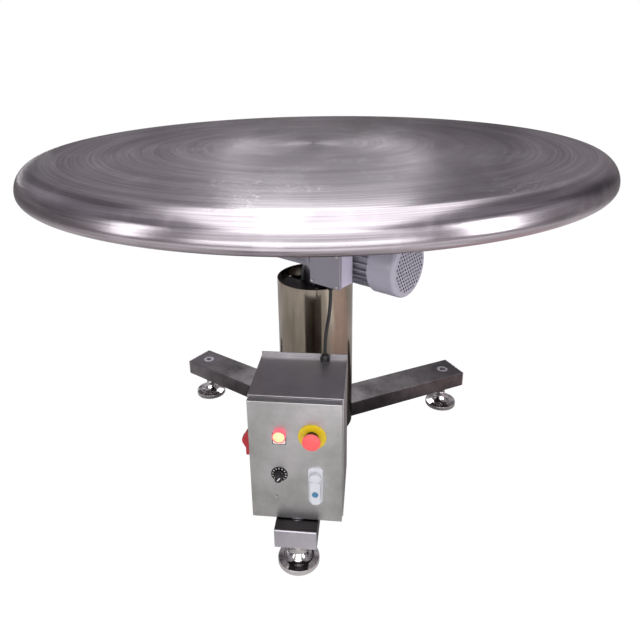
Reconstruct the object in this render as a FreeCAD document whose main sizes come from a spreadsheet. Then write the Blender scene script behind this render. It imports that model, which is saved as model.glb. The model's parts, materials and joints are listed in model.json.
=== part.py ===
import FreeCAD, Part
import math
import os
import re
import Sketcher
from FreeCAD import Placement, Rotation, Vector

# Rotary accumulation table: a spun disc on a spindle, turned by a worm gear motor
# on a column with three arms, and run from a control box that stands on the front arm.
# The origin is on the floor under the spindle, +Z is up and the operator stands at -Y.

doc = FreeCAD.newDocument("RotaryTable")
sheet = doc.addObject("Spreadsheet::Sheet", "Sizes")

SIZES = {
    "Disc": {
        "disc_radius": 700, "disc_top": 894, "disc_sheet": 3,
        "edge_radius": 48, "curl_radius": 18, "curl_turn": 80,
        "weld_plate_radius": 120, "weld_plate_thickness": 8,
        "rib_height": 40, "rib_tip_height": 20, "rib_thickness": 5, "rib_reach": 636,
        "rib_start_angle": 30, "rib_count": 6,
    },
    "Hub and spindle": {
        "hub_flange_radius": 105, "hub_flange_thickness": 12, "hub_boss_radius": 38, "hub_height": 62,
        "hub_web_thickness": 8, "hub_web_count": 6, "hub_bolt_circle": 85, "hub_bolt_radius": 5,
        "spindle_radius": 20, "spindle_foot_radius": 12.5, "spindle_tail": 14, "running_gap": 0.05,
        "bearing_radius": 34, "bearing_width": 15, "bearing_case_radius": 44, "bearing_case_height": 92,
        "bearing_flange_radius": 60, "bearing_flange_thickness": 10, "bearing_bolt_circle": 52,
        "bearing_lip": 3,
    },
    "Worm gearbox": {
        "motor_angle": 33, "worm_offset": 63, "worm_drop": 246, "gear_half_height": 56,
        "gear_half_length": 76, "wheel_side": 66, "worm_side": 11, "worm_case_radius": 46,
        "gear_corner": 8, "end_cap_radius": 34, "end_cap_thickness": 8,
        "gear_rib_count": 5, "gear_rib_thickness": 4, "gear_rib_depth": 5,
        "pedestal_radius": 31, "pedestal_wall": 8, "pedestal_flange_radius": 72,
        "pedestal_flange_thickness": 8, "pedestal_head_radius": 50, "gusset_thickness": 6,
        "gusset_foot": 44, "pedestal_bolt_circle": 62, "frame_bolt_radius": 5,
    },
    "Motor": {
        "motor_flange_radius": 70, "motor_flange_thickness": 12, "stator_radius": 58, "stator_end": 262,
        "fin_radius": 67, "fin_thickness": 3, "fin_count": 26, "fin_start": 96, "motor_shaft_radius": 11,
        "cowl_radius": 72.5, "cowl_sheet": 2, "cowl_start": 257, "cowl_end": 327, "cowl_shoulder": 11,
        "grille_hole_radius": 3.2, "grille_pitch": 10, "grille_rings": 6, "grille_radius": 56,
        "fan_radius": 60, "fan_width": 26, "fan_hub_radius": 20, "fan_blade_thickness": 3,
        "fan_blade_count": 8, "fan_gap": 14, "shield_radius": 69.5,
    },
    "Terminal box": {
        "terminal_start": 139, "terminal_length": 82, "terminal_front": 190, "terminal_depth": 52,
        "terminal_drop": 39, "terminal_height": 82, "terminal_wall": 3, "terminal_lid_thickness": 9,
        "terminal_screw_radius": 3.5, "terminal_screw_inset": 5, "terminal_screw_head": 2.5,
        "terminal_neck_radius": 26, "terminal_lid_corner": 5, "terminal_lid_edge": 2,
        "cable_radius": 4, "gland_radius": 10, "gland_length": 15, "gland_nut_height": 6,
        "motor_gland_along": 182, "motor_gland_front": 169,
    },
    "Column and arms": {
        "column_radius": 104, "column_sheet": 3, "column_drop": 361, "deck_thickness": 10,
        "deck_depth": 63, "shelf_angle": 44, "shelf_depth": 15, "shelf_edge": 32, "shelf_bolt_edge": 4.5,
        "shelf_bolt_left": 66, "shelf_bolt_right": 52, "shelf_bolt_radius": 2.5,
        "arm_width": 94, "arm_height": 47, "arm_sheet": 3, "arm_bottom": 81,
        "arm_reach": 501, "end_plate_thickness": 4, "foot_circle": 452, "bush_radius": 17,
    },
    "Levelling feet": {
        "foot_radius": 48, "foot_rim_height": 13, "foot_ring_width": 13, "foot_bell_height": 46,
        "foot_neck_radius": 13, "stud_radius": 8, "stud_top": 118, "stud_collar": 10,
        "hex_flat": 12, "lock_nut_height": 10,
    },
    "Control box": {
        "door_width": 200, "door_height": 300, "door_bottom": 131, "door_front": 465, "door_pan": 18,
        "door_gap": 2, "door_sheet": 1.5, "box_side": 2, "box_depth": 172, "box_sheet": 1.5,
        "box_lip": 12, "back_plate_thickness": 3, "back_plate_rise": 9,
        "seal_width": 9, "seal_gap": 0.5, "seal_inset": 10,
        "panel_width": 176, "panel_height": 262, "panel_sheet": 2, "panel_standoff": 10,
        "inverter_width": 72, "inverter_height": 140, "inverter_depth": 84, "inverter_left": 14,
        "inverter_bottom": 240, "rail_height": 35, "rail_depth": 7.5, "rail_level": 190,
        "terminal_block_count": 8, "terminal_block_pitch": 8, "terminal_block_depth": 42,
        "roof_gland_side": 50, "roof_gland_front": 285, "mains_gland_side": 76, "mains_gland_front": 340,
        "mains_gland_bore": 5,
    },
    "Door hinges": {
        "hinge_inset": 5, "hinge_back": 6, "hinge_pin_radius": 2.5, "hinge_leaf": 5, "hinge_height": 12,
        "hinge_knuckle": 10, "hinge_level": 50,
    },
    "Emergency stop": {
        "estop_side": 37, "estop_level": 220, "collar_radius": 30, "collar_thickness": 3,
        "barrel_radius": 11, "barrel_flange_radius": 14, "barrel_out": 8, "barrel_depth": 50,
        "estop_block": 28, "nut_thickness": 5, "estop_neck_length": 6,
        "estop_stem_radius": 7, "estop_neck_radius": 4.5, "mushroom_radius": 19.5,
        "mushroom_out": 25, "mushroom_back": 13, "mushroom_dome": 3,
    },
    "Pilot lamp": {
        "lamp_side": 33, "lamp_level": 220, "bezel_radius": 14.5, "bezel_out": 9, "lens_radius": 12.5,
        "lens_out": 15, "lamp_depth": 40,
    },
    "Speed dial": {
        "dial_side": 36, "dial_level": 119, "knob_radius": 8, "knob_out": 20, "knob_gap": 2.5,
        "knob_skirt": 10, "dial_shaft_radius": 3, "dial_bush_radius": 5, "dial_can_radius": 12,
        "dial_can_depth": 14, "gauge_hole_radius": 1.7, "gauge_hole_side": 43.5, "gauge_hole_level": 60,
    },
    "Door lock": {
        "lock_side": 43, "lock_bottom": 48, "lock_height": 97, "lock_width": 31, "lock_arch": 6,
        "lock_plate_out": 5,
        "lock_pivot_level": 121, "lock_spindle_radius": 12, "lock_disc_thickness": 1.5,
        "lock_ear": 3.4, "lock_pin_radius": 2, "lock_pin_inset": 0.6, "lock_head_drop": 7,
        "lock_pin_out": 10.5, "lever_eye": 3, "lever_side_gap": 0.2, "lever_width": 22,
        "lever_length": 67, "lever_thickness": 7,
        "lever_gap": 0.5, "lock_shaft_radius": 5, "cam_reach": 45, "cam_width": 14, "cam_thickness": 3,
        "button_radius": 6.5, "button_rise": 1.5, "button_travel": 2, "button_seat": 2.6, "button_level": 82,
    },
    "Isolator": {
        "isolator_front": 390, "isolator_level": 276, "isolator_block": 48, "isolator_depth": 42,
        "isolator_shaft_radius": 5, "handle_disc_radius": 17, "handle_disc_out": 12, "handle_length": 62,
        "handle_width": 14, "handle_out": 30, "handle_tip_out": 18, "handle_foot_out": 22, "handle_knee": 8,
    },
}

row = 1
for group, values in SIZES.items():
    sheet.set(f"A{row}", group)
    row += 1
    for alias, value in values.items():
        sheet.set(f"A{row}", alias)
        sheet.set(f"B{row}", str(value))
        sheet.setAlias(f"B{row}", alias)
        row += 1
doc.recompute()

ALIASES = {alias for values in SIZES.values() for alias in values}
PARTS = {}


def named(expression):
    """Write an expression with each size as a reference to the sheet."""
    return re.sub(r"[A-Za-z_]+", lambda w: f"Sizes.{w[0]}" if w[0] in ALIASES else w[0], str(expression))


def number(expression):
    """The present value of an expression."""
    return float(sheet.evalExpression(named(expression)))


def bind(item, **sizes):
    for name, expression in sizes.items():
        item.setExpression(name, named(expression))
    return item


def place(item, at=(0, 0, 0), turn=None):
    """Bind a position, and with turn = (axis, angle) a rotation about that axis."""
    if turn:
        axis, angle = turn
        item.Placement = Placement(Vector(), Rotation(Vector(*axis), number(angle) or 1))
        item.setExpression("Placement.Rotation.Angle", named(angle))
    for name, expression in zip("xyz", at):
        item.setExpression(f"Placement.Base.{name}", named(expression))
    return item


def add(kind, label):
    item = doc.addObject(kind, label)
    item.Label = label
    return item


def block(label, size, at):
    """A box with its low corner at a place."""
    item = bind(add("Part::Box", label), Length=size[0], Width=size[1], Height=size[2])
    return place(item, at)


ALONG = {"Z": None, "-Z": ((1, 0, 0), 180), "X": ((0, 1, 0), 90), "-X": ((0, 1, 0), -90),
         "Y": ((1, 0, 0), -90), "-Y": ((1, 0, 0), 90)}


def rod(label, radius, length, at, along="Z"):
    """A cylinder that starts at a place and runs along an axis."""
    item = bind(add("Part::Cylinder", label), Radius=radius, Height=length)
    return place(item, at, ALONG[along])


def cone(label, radius, end_radius, length, at, along="Z"):
    item = bind(add("Part::Cone", label), Radius1=radius, Radius2=end_radius, Height=length)
    return place(item, at, ALONG[along])


def hexagon(label, half_flat, length, at, along="Z"):
    """A six-sided prism, given by half the distance across its flats."""
    item = bind(add("Part::Prism", label), Circumradius=f"({half_flat}) / cos(30)", Height=length)
    item.Polygon = 6
    return place(item, at, ALONG[along])


def fuse(label, *items):
    item = add("Part::MultiFuse", label)
    item.Shapes = list(items)
    item.Refine = True
    return item


def cut(label, base, *tools):
    item = add("Part::Cut", label)
    item.Base = base
    item.Tool = tools[0] if len(tools) == 1 else fuse(f"{label}_tools", *tools)
    item.Refine = True
    return item


def group(label, *items):
    item = add("Part::Compound", label)
    item.Links = list(items)
    return item


def rounded(label, base, radius, pick):
    """Fillet the edges of a base that a test on their middle point and direction picks."""
    doc.recompute()
    size = number(radius)
    edges = []
    for index, edge in enumerate(base.Shape.Edges, 1):
        middle = edge.valueAt((edge.FirstParameter + edge.LastParameter) / 2)
        run = edge.valueAt(edge.LastParameter) - edge.valueAt(edge.FirstParameter)
        if pick(middle, run):
            edges.append((index, size, size))
    item = add("Part::Fillet", label)
    item.Base = base
    item.Edges = edges
    return item


def upright(middle, run):
    return abs(run.z) > 1 and abs(run.x) + abs(run.y) < 1e-6


def keep(node, item, at=None, turn=None):
    """Name an item as one piece of the table."""
    item.Label = node
    if at or turn:
        place(item, at or (0, 0, 0), turn)
    PARTS[node] = item
    return item


def new_body(label):
    body = doc.addObject("PartDesign::Body", label)
    body.Label = label
    return body


def new_sketch(body, plane, offset=None):
    """A sketch on one of the body's own origin planes, raised by an offset."""
    sketch = body.newObject("Sketcher::SketchObject", "Sketch")
    face = next(f for f in body.Origin.OriginFeatures if f.Role == plane)
    sketch.AttachmentSupport = [(face, "")]
    sketch.MapMode = "FlatFace"
    if offset:
        sketch.setExpression("AttachmentOffset.Base.z", named(offset))
    return sketch


def outline(sketch, points):
    """Close a profile through points, each with its two distances bound to the sheet.

    A point is (across, up), and (across, up, radius) where the side that reaches it is an arc:
    a positive radius turns left on the way to the point, a negative one right.
    """
    where = [Vector(number(p[0]), number(p[1]), 0) for p in points]
    for index, point in enumerate(points):
        start, end = where[index - 1], where[index]
        if len(point) < 3:
            sketch.addGeometry(Part.LineSegment(start, end), False)
            continue
        radius = number(point[2])
        half = (end - start) * 0.5
        rise = math.sqrt(max(radius ** 2 - half.Length ** 2, 0))
        side = Vector(-half.y, half.x, 0).normalize() * math.copysign(1, radius)
        centre = start + half + side * rise
        first, last = (start, end) if radius > 0 else (end, start)
        angles = [math.atan2(p.y - centre.y, p.x - centre.x) for p in (first, last)]
        circle = Part.Circle(centre, Vector(0, 0, 1), abs(radius))
        sketch.addGeometry(Part.ArcOfCircle(circle, *angles), False)
        bound = sketch.addConstraint(Sketcher.Constraint("Radius", index, abs(radius)))
        sketch.setExpression(f"Constraints[{bound}]", named(f"abs({point[2]})"))
    arcs = [len(p) > 2 and number(p[2]) < 0 for p in points]
    for index, point in enumerate(points):
        follower = (index + 1) % len(points)
        end, start = (1 if arcs[index] else 2), (2 if arcs[follower] else 1)
        sketch.addConstraint(Sketcher.Constraint("Coincident", index, end, follower, start))
        for kind, value in (("DistanceX", point[0]), ("DistanceY", point[1])):
            amount = number(value)
            if str(value) == "0":
                other = -2 if kind == "DistanceX" else -1
                sketch.addConstraint(Sketcher.Constraint("PointOnObject", index, end, other))
                continue
            bound = sketch.addConstraint(Sketcher.Constraint(kind, -1, 1, index, end, amount))
            sketch.setExpression(f"Constraints[{bound}]", named(value))


def circles(sketch, centres, radius):
    """Equal circles in a sketch, each with its centre bound."""
    for across, up in centres:
        spot = Vector(number(across), number(up), 0)
        index = sketch.addGeometry(Part.Circle(spot, Vector(0, 0, 1), number(radius)), False)
        bound = sketch.addConstraint(Sketcher.Constraint("Radius", index, number(radius)))
        sketch.setExpression(f"Constraints[{bound}]", named(radius))
        for kind, value in (("DistanceX", across), ("DistanceY", up)):
            bound = sketch.addConstraint(Sketcher.Constraint(kind, -1, 1, index, 3, number(value)))
            sketch.setExpression(f"Constraints[{bound}]", named(value))


def pad(body, sketch, length, both=False, reverse=False):
    item = body.newObject("PartDesign::Pad", "Pad")
    item.Profile = sketch
    item.Midplane = both
    item.Reversed = reverse
    return bind(item, Length=length)


def pocket(body, sketch, length, reverse=False):
    item = body.newObject("PartDesign::Pocket", "Pocket")
    item.Profile = sketch
    item.Reversed = reverse
    return bind(item, Length=length)


def turned(label, plane, axis, points):
    """A body of revolution of one closed profile about one of its sketch's axes."""
    body = new_body(label)
    sketch = new_sketch(body, plane)
    outline(sketch, points)
    item = body.newObject("PartDesign::Revolution", "Revolution")
    item.Profile = sketch
    item.ReferenceAxis = (sketch, [axis])
    item.Angle = 360
    return body


def ring_pattern(body, feature, count, axis="Z_Axis"):
    """Repeat a feature round one of the body's own axes."""
    item = body.newObject("PartDesign::PolarPattern", "PolarPattern")
    item.Originals = [feature]
    line = next(f for f in body.Origin.OriginFeatures if f.Role == axis)
    item.Axis = (line, [""])
    item.Angle = 360
    item.Occurrences = int(number(count))
    bind(item, Occurrences=count)
    body.Tip = item
    return item


def around(count, start=0):
    """Expressions for equal angles round a circle."""
    total = int(number(count))
    return [f"({start}) + {index} * 360 / ({count})" for index in range(total)]


SQUARE_TO_MOTOR = ((0, 0, 1), "-motor_angle")
SQUARE_TO_SHELF = ((0, 0, 1), "shelf_angle - 90")


def build_disc():
    """The spun disc: flat top, rolled edge and a curl turned in under it."""
    edge = "disc_radius - edge_radius"
    top = "disc_top"
    curl = "disc_radius - curl_radius"
    level = "disc_top - edge_radius"
    radii = ("curl_radius", "curl_radius - disc_sheet")
    tip = [f"{curl} + ({radius}) * cos(curl_turn)" for radius in radii]
    drop = [f"{level} - ({radius}) * sin(curl_turn)" for radius in radii]
    profile = [
        ("0", top), ("0", f"{top} - disc_sheet"), (edge, f"{top} - disc_sheet"),
        ("disc_radius - disc_sheet", level, "-(edge_radius - disc_sheet)"),
        (tip[1], drop[1], "-(curl_radius - disc_sheet)"),
        (tip[0], drop[0]), ("disc_radius", level, "curl_radius"), (edge, top, "edge_radius"),
    ]
    keep("turntable_disc", turned("turntable_disc", "XZ_Plane", "V_Axis", profile))


def build_stiffeners():
    """A weld plate and tapered radial ribs against the underside of the disc."""
    under = "disc_top - disc_sheet"
    plate = rod("weld_plate", "weld_plate_radius", "weld_plate_thickness",
                (0, 0, f"{under} - weld_plate_thickness"))
    hole = rod("weld_plate_bore", "spindle_radius + running_gap", "weld_plate_thickness",
               (0, 0, f"{under} - weld_plate_thickness"))
    pieces = [cut("weld_ring", plate, hole)]
    for angle in around("rib_count", "rib_start_angle"):
        body = new_body("rib")
        sketch = new_sketch(body, "XZ_Plane")
        outline(sketch, [
            ("weld_plate_radius", under), ("weld_plate_radius", f"{under} - rib_height"),
            ("rib_reach * 0.4", f"{under} - rib_height"),
            ("rib_reach", f"{under} - rib_tip_height"), ("rib_reach", under)])
        pad(body, sketch, "rib_thickness", both=True)
        pieces.append(place(body, (0, 0, 0), ((0, 0, 1), angle)))
    keep("turntable_stiffeners", group("turntable_stiffeners", *pieces))


HUB_TOP = "(disc_top - disc_sheet - weld_plate_thickness)"
WORM_LEVEL = "(disc_top - worm_drop)"
GEAR_TOP = f"({WORM_LEVEL} + gear_half_height)"
GEAR_FOOT = f"({WORM_LEVEL} - gear_half_height)"
TERMINAL_FOOT = f"({WORM_LEVEL} - terminal_drop)"


def build_hub():
    """The flanged hub with webs, bolted under the weld plate and clamped on the spindle."""
    under = f"{HUB_TOP} - hub_flange_thickness"
    foot = f"{HUB_TOP} - hub_height"
    body = turned("turntable_hub", "XZ_Plane", "V_Axis", [
        ("spindle_radius", HUB_TOP), ("spindle_radius", foot), ("hub_boss_radius", foot),
        ("hub_boss_radius", under), ("hub_flange_radius", under), ("hub_flange_radius", HUB_TOP)])
    sketch = new_sketch(body, "XZ_Plane")
    outline(sketch, [
        ("spindle_radius + 4", f"{under} + 1"), ("spindle_radius + 4", f"{foot} + 4"),
        ("hub_boss_radius + 2", f"{foot} + 4"), ("hub_flange_radius - 4", under),
        ("hub_flange_radius - 4", f"{under} + 1")])
    web = pad(body, sketch, "hub_web_thickness", both=True)
    ring_pattern(body, web, "hub_web_count")
    keep("turntable_hub", body)
    bolts = []
    for index, angle in enumerate(around("hub_web_count", "180 / hub_web_count")):
        spot = (f"hub_bolt_circle * cos({angle})", f"hub_bolt_circle * sin({angle})")
        bolts.append(hexagon(f"hub_bolt_{index}", "hub_bolt_radius * 1.7", "hub_bolt_radius * 1.3",
                             (*spot, f"{under} - hub_bolt_radius * 1.3")))
    keep("hub_bolts", group("hub_bolts", *bolts))
    sleeve = f"{GEAR_TOP} + bearing_lip"
    keep("spindle", turned("spindle", "XZ_Plane", "V_Axis", [
        ("0", f"{HUB_TOP} + weld_plate_thickness"), ("0", f"{GEAR_FOOT} - spindle_tail"),
        ("spindle_foot_radius", f"{GEAR_FOOT} - spindle_tail"), ("spindle_foot_radius", sleeve),
        ("spindle_radius", sleeve), ("spindle_radius", f"{HUB_TOP} + weld_plate_thickness")]))


def build_bearing_housing():
    """The flanged case on the gearbox with a ball bearing at each end."""
    foot, head = GEAR_TOP, f"{GEAR_TOP} + bearing_case_height"
    seat = "bearing_radius"
    lip = "bearing_radius - 5"
    keep("bearing_housing", turned("bearing_housing", "XZ_Plane", "V_Axis", [
        (lip, f"{foot}"), (lip, f"{foot} + bearing_lip"), (seat, f"{foot} + bearing_lip"),
        (seat, f"{foot} + bearing_lip + bearing_width"), (lip, f"{foot} + bearing_lip + bearing_width"),
        (lip, f"{head} - bearing_width"), (seat, f"{head} - bearing_width"), (seat, head),
        ("bearing_case_radius", head), ("bearing_case_radius", f"{foot} + bearing_flange_thickness"),
        ("bearing_flange_radius", f"{foot} + bearing_flange_thickness"), ("bearing_flange_radius", foot)]))
    rings = []
    for index, level in enumerate((f"{foot} + bearing_lip", f"{head} - bearing_width")):
        outer = rod(f"bearing_outer_{index}", "bearing_radius", "bearing_width", (0, 0, level))
        bore = rod(f"bearing_bore_{index}", "spindle_radius + running_gap", "bearing_width", (0, 0, level))
        rings.append(cut(f"bearing_{index}", outer, bore))
    keep("spindle_bearings", group("spindle_bearings", *rings))


def build_gearbox():
    """The worm gearbox: a square wheel case, the round worm case before it, ribs and end cap."""
    height = "2 * gear_half_height"
    case = block("wheel_case", ("2 * gear_half_length", "wheel_side + worm_offset + worm_side", height),
                 ("-gear_half_length", "-worm_offset - worm_side", GEAR_FOOT))
    case = rounded("wheel_case_rounded", case, "gear_corner", upright)
    worm = rod("worm_case", "worm_case_radius", "2 * gear_half_length",
               ("-gear_half_length", "-worm_offset", WORM_LEVEL), "X")
    cap = rod("worm_end_cap", "end_cap_radius", "end_cap_thickness",
              ("-gear_half_length", "-worm_offset", WORM_LEVEL), "-X")
    ribs = []
    for index in range(int(number("gear_rib_count"))):
        across = f"-gear_half_length + gear_corner + ({index} + 0.5) * 2 * (gear_half_length - gear_corner)"
        across += " / gear_rib_count - gear_rib_thickness / 2"
        ribs.append(block(f"gear_rib_{index}", ("gear_rib_thickness", "gear_rib_depth + 1", f"{height} - 16"),
                          (across, "wheel_side - 1", f"{GEAR_FOOT} + 8")))
    bore = rod("spindle_bore", "spindle_foot_radius + running_gap", height, (0, 0, GEAR_FOOT))
    socket = rod("worm_bore", "motor_shaft_radius + running_gap", "2 * gear_half_length",
                 (0, "-worm_offset", WORM_LEVEL), "X")
    solid = fuse("gearbox_solid", case, worm, cap, *ribs)
    keep("gearbox_housing", cut("gearbox_bored", solid, bore, socket), turn=SQUARE_TO_MOTOR)


COLUMN_TOP = "(disc_top - column_drop)"
DECK_TOP = f"({COLUMN_TOP} - deck_depth + deck_thickness)"
SHELF_TOP = f"({COLUMN_TOP} - shelf_depth)"


def build_pedestal():
    """The pedestal between the deck in the column and the underside of the gearbox."""
    head = f"{GEAR_FOOT} - {DECK_TOP}"
    body = turned("gearbox_pedestal", "XZ_Plane", "V_Axis", [
        ("pedestal_radius - pedestal_wall", DECK_TOP), ("pedestal_radius - pedestal_wall", GEAR_FOOT),
        ("pedestal_head_radius", GEAR_FOOT), ("pedestal_head_radius", f"{GEAR_FOOT} - pedestal_wall"),
        ("pedestal_radius", f"{GEAR_FOOT} - pedestal_wall"),
        ("pedestal_radius", f"{DECK_TOP} + pedestal_flange_thickness"),
        ("pedestal_flange_radius", f"{DECK_TOP} + pedestal_flange_thickness"),
        ("pedestal_flange_radius", DECK_TOP)])
    sketch = new_sketch(body, "XZ_Plane")
    outline(sketch, [
        ("pedestal_radius - 2", f"{DECK_TOP} + 2"), ("gusset_foot", f"{DECK_TOP} + 2"),
        ("gusset_foot", f"{DECK_TOP} + pedestal_flange_thickness + 2"),
        ("pedestal_radius + 2", f"{DECK_TOP} + ({head}) * 0.8"),
        ("pedestal_radius - 2", f"{DECK_TOP} + ({head}) * 0.8")])
    web = pad(body, sketch, "gusset_thickness", both=True)
    ring_pattern(body, web, "4")
    keep("gearbox_pedestal", body, turn=((0, 0, 1), "shelf_angle + 45"))


def build_frame_bolts():
    """Hexagon bolts of the pedestal and the bearing housing, and the terminal box screws."""
    bolts = []
    size = ("frame_bolt_radius * 1.7", "frame_bolt_radius * 1.3")
    for index, angle in enumerate(around("4", "shelf_angle")):
        spot = (f"pedestal_bolt_circle * cos({angle})", f"pedestal_bolt_circle * sin({angle})")
        bolts.append(hexagon(f"pedestal_bolt_{index}", *size,
                             (*spot, f"{DECK_TOP} + pedestal_flange_thickness")))
    for index, angle in enumerate(around("4", "-motor_angle")):
        spot = (f"bearing_bolt_circle * cos({angle})", f"bearing_bolt_circle * sin({angle})")
        bolts.append(hexagon(f"bearing_bolt_{index}", "frame_bolt_radius * 1.4", "frame_bolt_radius",
                             (*spot, f"{GEAR_TOP} + bearing_flange_thickness")))
    shelf = [hexagon(f"shelf_bolt_{index}", "shelf_bolt_radius * 1.6", "shelf_bolt_radius * 1.4",
                     (across, "-shelf_edge - shelf_bolt_edge", SHELF_TOP))
             for index, across in enumerate(("-shelf_bolt_left", "shelf_bolt_right"))]
    bolts.append(place(group("shelf_bolts", *shelf), (0, 0, 0), SQUARE_TO_SHELF))
    screws = []
    inset = "terminal_screw_inset"
    for across in (f"terminal_start + {inset}", f"terminal_start + terminal_length - {inset}"):
        for level in (f"{TERMINAL_FOOT} + {inset}", f"{TERMINAL_FOOT} + terminal_height - {inset}"):
            screws.append(rod("terminal_screw", "terminal_screw_radius", "terminal_screw_head",
                              (across, "-terminal_front", level), "-Y"))
    screws = place(group("terminal_screws", *screws), (0, 0, 0), SQUARE_TO_MOTOR)
    keep("frame_bolts", group("frame_bolts", *bolts, screws))


def motor_rod(label, radius, start, length):
    """A cylinder on the motor's axis, in the frame that is square to the motor."""
    return rod(label, radius, length, (start, "-worm_offset", WORM_LEVEL), "X")


def on_motor(node, item):
    """Keep a piece that was drawn in the frame square to the motor."""
    return keep(node, item, turn=SQUARE_TO_MOTOR)


def build_motor():
    """The flange, the finned stator case, the rotor shaft and the cooling fan."""
    flange = motor_rod("flange_disc", "motor_flange_radius", "gear_half_length", "motor_flange_thickness")
    bore = motor_rod("flange_bore", "motor_shaft_radius + running_gap", "gear_half_length",
                     "motor_flange_thickness")
    on_motor("motor_flange", cut("flange_bored", flange, bore))
    start = "gear_half_length + motor_flange_thickness"
    body = new_body("motor_stator")
    sketch = new_sketch(body, "YZ_Plane", start)
    circles(sketch, [("0", "0")], "stator_radius")
    pad(body, sketch, f"stator_end - ({start})")
    sketch = new_sketch(body, "YZ_Plane", "fin_start")
    outline(sketch, [("fin_thickness / 2", "stator_radius - 3"), ("fin_thickness / 2", "fin_radius"),
                     ("-fin_thickness / 2", "fin_radius"), ("-fin_thickness / 2", "stator_radius - 3")])
    fin = pad(body, sketch, "cowl_start - fin_start - 1")
    ring_pattern(body, fin, "fin_count", "X_Axis")
    place(body, (0, "-worm_offset", WORM_LEVEL))
    bore = motor_rod("stator_bore", "motor_shaft_radius + running_gap", start, f"stator_end - ({start})")
    shield = motor_rod("end_shield", "shield_radius", "cowl_start + 1", "stator_end - cowl_start - 1")
    on_motor("motor_stator", cut("stator_bored", fuse("stator_solid", body, shield), bore))
    shaft = motor_rod("shaft_bar", "motor_shaft_radius", "4", "stator_end + fan_gap + fan_width - 4")
    on_motor("rotor_shaft", group("shaft_group", shaft))
    body = new_body("cooling_fan")
    sketch = new_sketch(body, "YZ_Plane")
    circles(sketch, [("0", "0")], "fan_hub_radius")
    pad(body, sketch, "fan_width")
    sketch = new_sketch(body, "YZ_Plane")
    half, root = "fan_blade_thickness / 2", "fan_hub_radius - 3"
    outline(sketch, [(half, root), (half, "fan_radius"), (f"-{half}", "fan_radius"), (f"-{half}", root)])
    blade = pad(body, sketch, "fan_width")
    ring_pattern(body, blade, "fan_blade_count", "X_Axis")
    sketch = new_sketch(body, "YZ_Plane")
    circles(sketch, [("0", "0")], "motor_shaft_radius")
    pocket(body, sketch, "fan_width", reverse=True)
    place(body, ("stator_end + fan_gap", "-worm_offset", WORM_LEVEL))
    on_motor("cooling_fan", group("fan_group", body))


def build_cowl():
    """The fan cowl: a drawn cap with a rounded shoulder and rings of round air holes."""
    inner = "cowl_radius - cowl_sheet"
    face = "cowl_end - cowl_shoulder"
    flat = "cowl_radius - cowl_shoulder"
    body = turned("fan_cowl", "XY_Plane", "H_Axis", [
        ("cowl_start", inner), (face, inner), ("cowl_end - cowl_sheet", flat, "cowl_shoulder - cowl_sheet"),
        ("cowl_end - cowl_sheet", "0"), ("cowl_end", "0"), ("cowl_end", flat),
        (face, "cowl_radius", "cowl_shoulder"), ("cowl_start", "cowl_radius")])
    holes, limit = [], number("grille_radius")
    for ring in range(int(number("grille_rings")) + 1):
        for spot in range(max(6 * ring, 1)):
            side, step = (divmod(spot, ring) if ring else (0, 0))
            turn, lean = 60 * side, 60 * side + 120
            if math.sqrt(ring ** 2 - ring * step + step ** 2) * number("grille_pitch") <= limit:
                holes.append((f"grille_pitch * ({ring} * cos({turn}) + {step} * cos({lean}))",
                              f"grille_pitch * ({ring} * sin({turn}) + {step} * sin({lean}))"))
    sketch = new_sketch(body, "YZ_Plane", "cowl_end - cowl_sheet - 1")
    circles(sketch, holes, "grille_hole_radius")
    pocket(body, sketch, "cowl_sheet + 2", reverse=True)
    place(body, (0, "-worm_offset", WORM_LEVEL))
    on_motor("fan_cowl", group("cowl_group", body))


def build_terminal_box():
    """The motor's terminal box on its neck, the lid that faces the operator, and the gland."""
    back = "-terminal_front + terminal_depth"
    front = "-terminal_front + terminal_lid_thickness"
    depth = f"({back}) - ({front})"
    wall = "terminal_wall"
    case = block("terminal_case", ("terminal_length", depth, "terminal_height"),
                 ("terminal_start", front, TERMINAL_FOOT))
    hollow = block("terminal_hollow", (f"terminal_length - 2 * {wall}", f"{depth} - {wall}",
                                       f"terminal_height - 2 * {wall}"),
                   (f"terminal_start + {wall}", front, f"{TERMINAL_FOOT} + {wall}"))
    neck = rod("terminal_neck", "terminal_neck_radius", "terminal_front - worm_offset",
               ("terminal_start + terminal_length / 2", "-worm_offset", WORM_LEVEL), "-Y")
    inside = motor_rod("neck_trim", "fin_radius + 0.3", "terminal_start", "terminal_length")
    end = block("neck_end", ("terminal_length", "terminal_depth", "terminal_height"),
                ("terminal_start", "-terminal_front", TERMINAL_FOOT))
    neck = cut("terminal_neck_cut", neck, inside, end)
    gland_hole = rod("terminal_gland_hole", "cable_radius + 2", "terminal_wall * 2",
                     ("motor_gland_along", "-motor_gland_front", f"{TERMINAL_FOOT} - terminal_wall / 2"))
    on_motor("terminal_box", cut("terminal_box", fuse("terminal_solid", case, neck), hollow, gland_hole))
    edge = "terminal_lid_edge"
    lid = block("terminal_lid", (f"terminal_length + 2 * {edge}", "terminal_lid_thickness",
                                 f"terminal_height + 2 * {edge}"),
                (f"terminal_start - {edge}", "-terminal_front", f"{TERMINAL_FOOT} - {edge}"))
    lid = rounded("terminal_lid_rounded", lid, "terminal_lid_corner", lambda m, run: abs(run.y) > 1)
    on_motor("terminal_box_lid", group("lid_group", lid))


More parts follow.
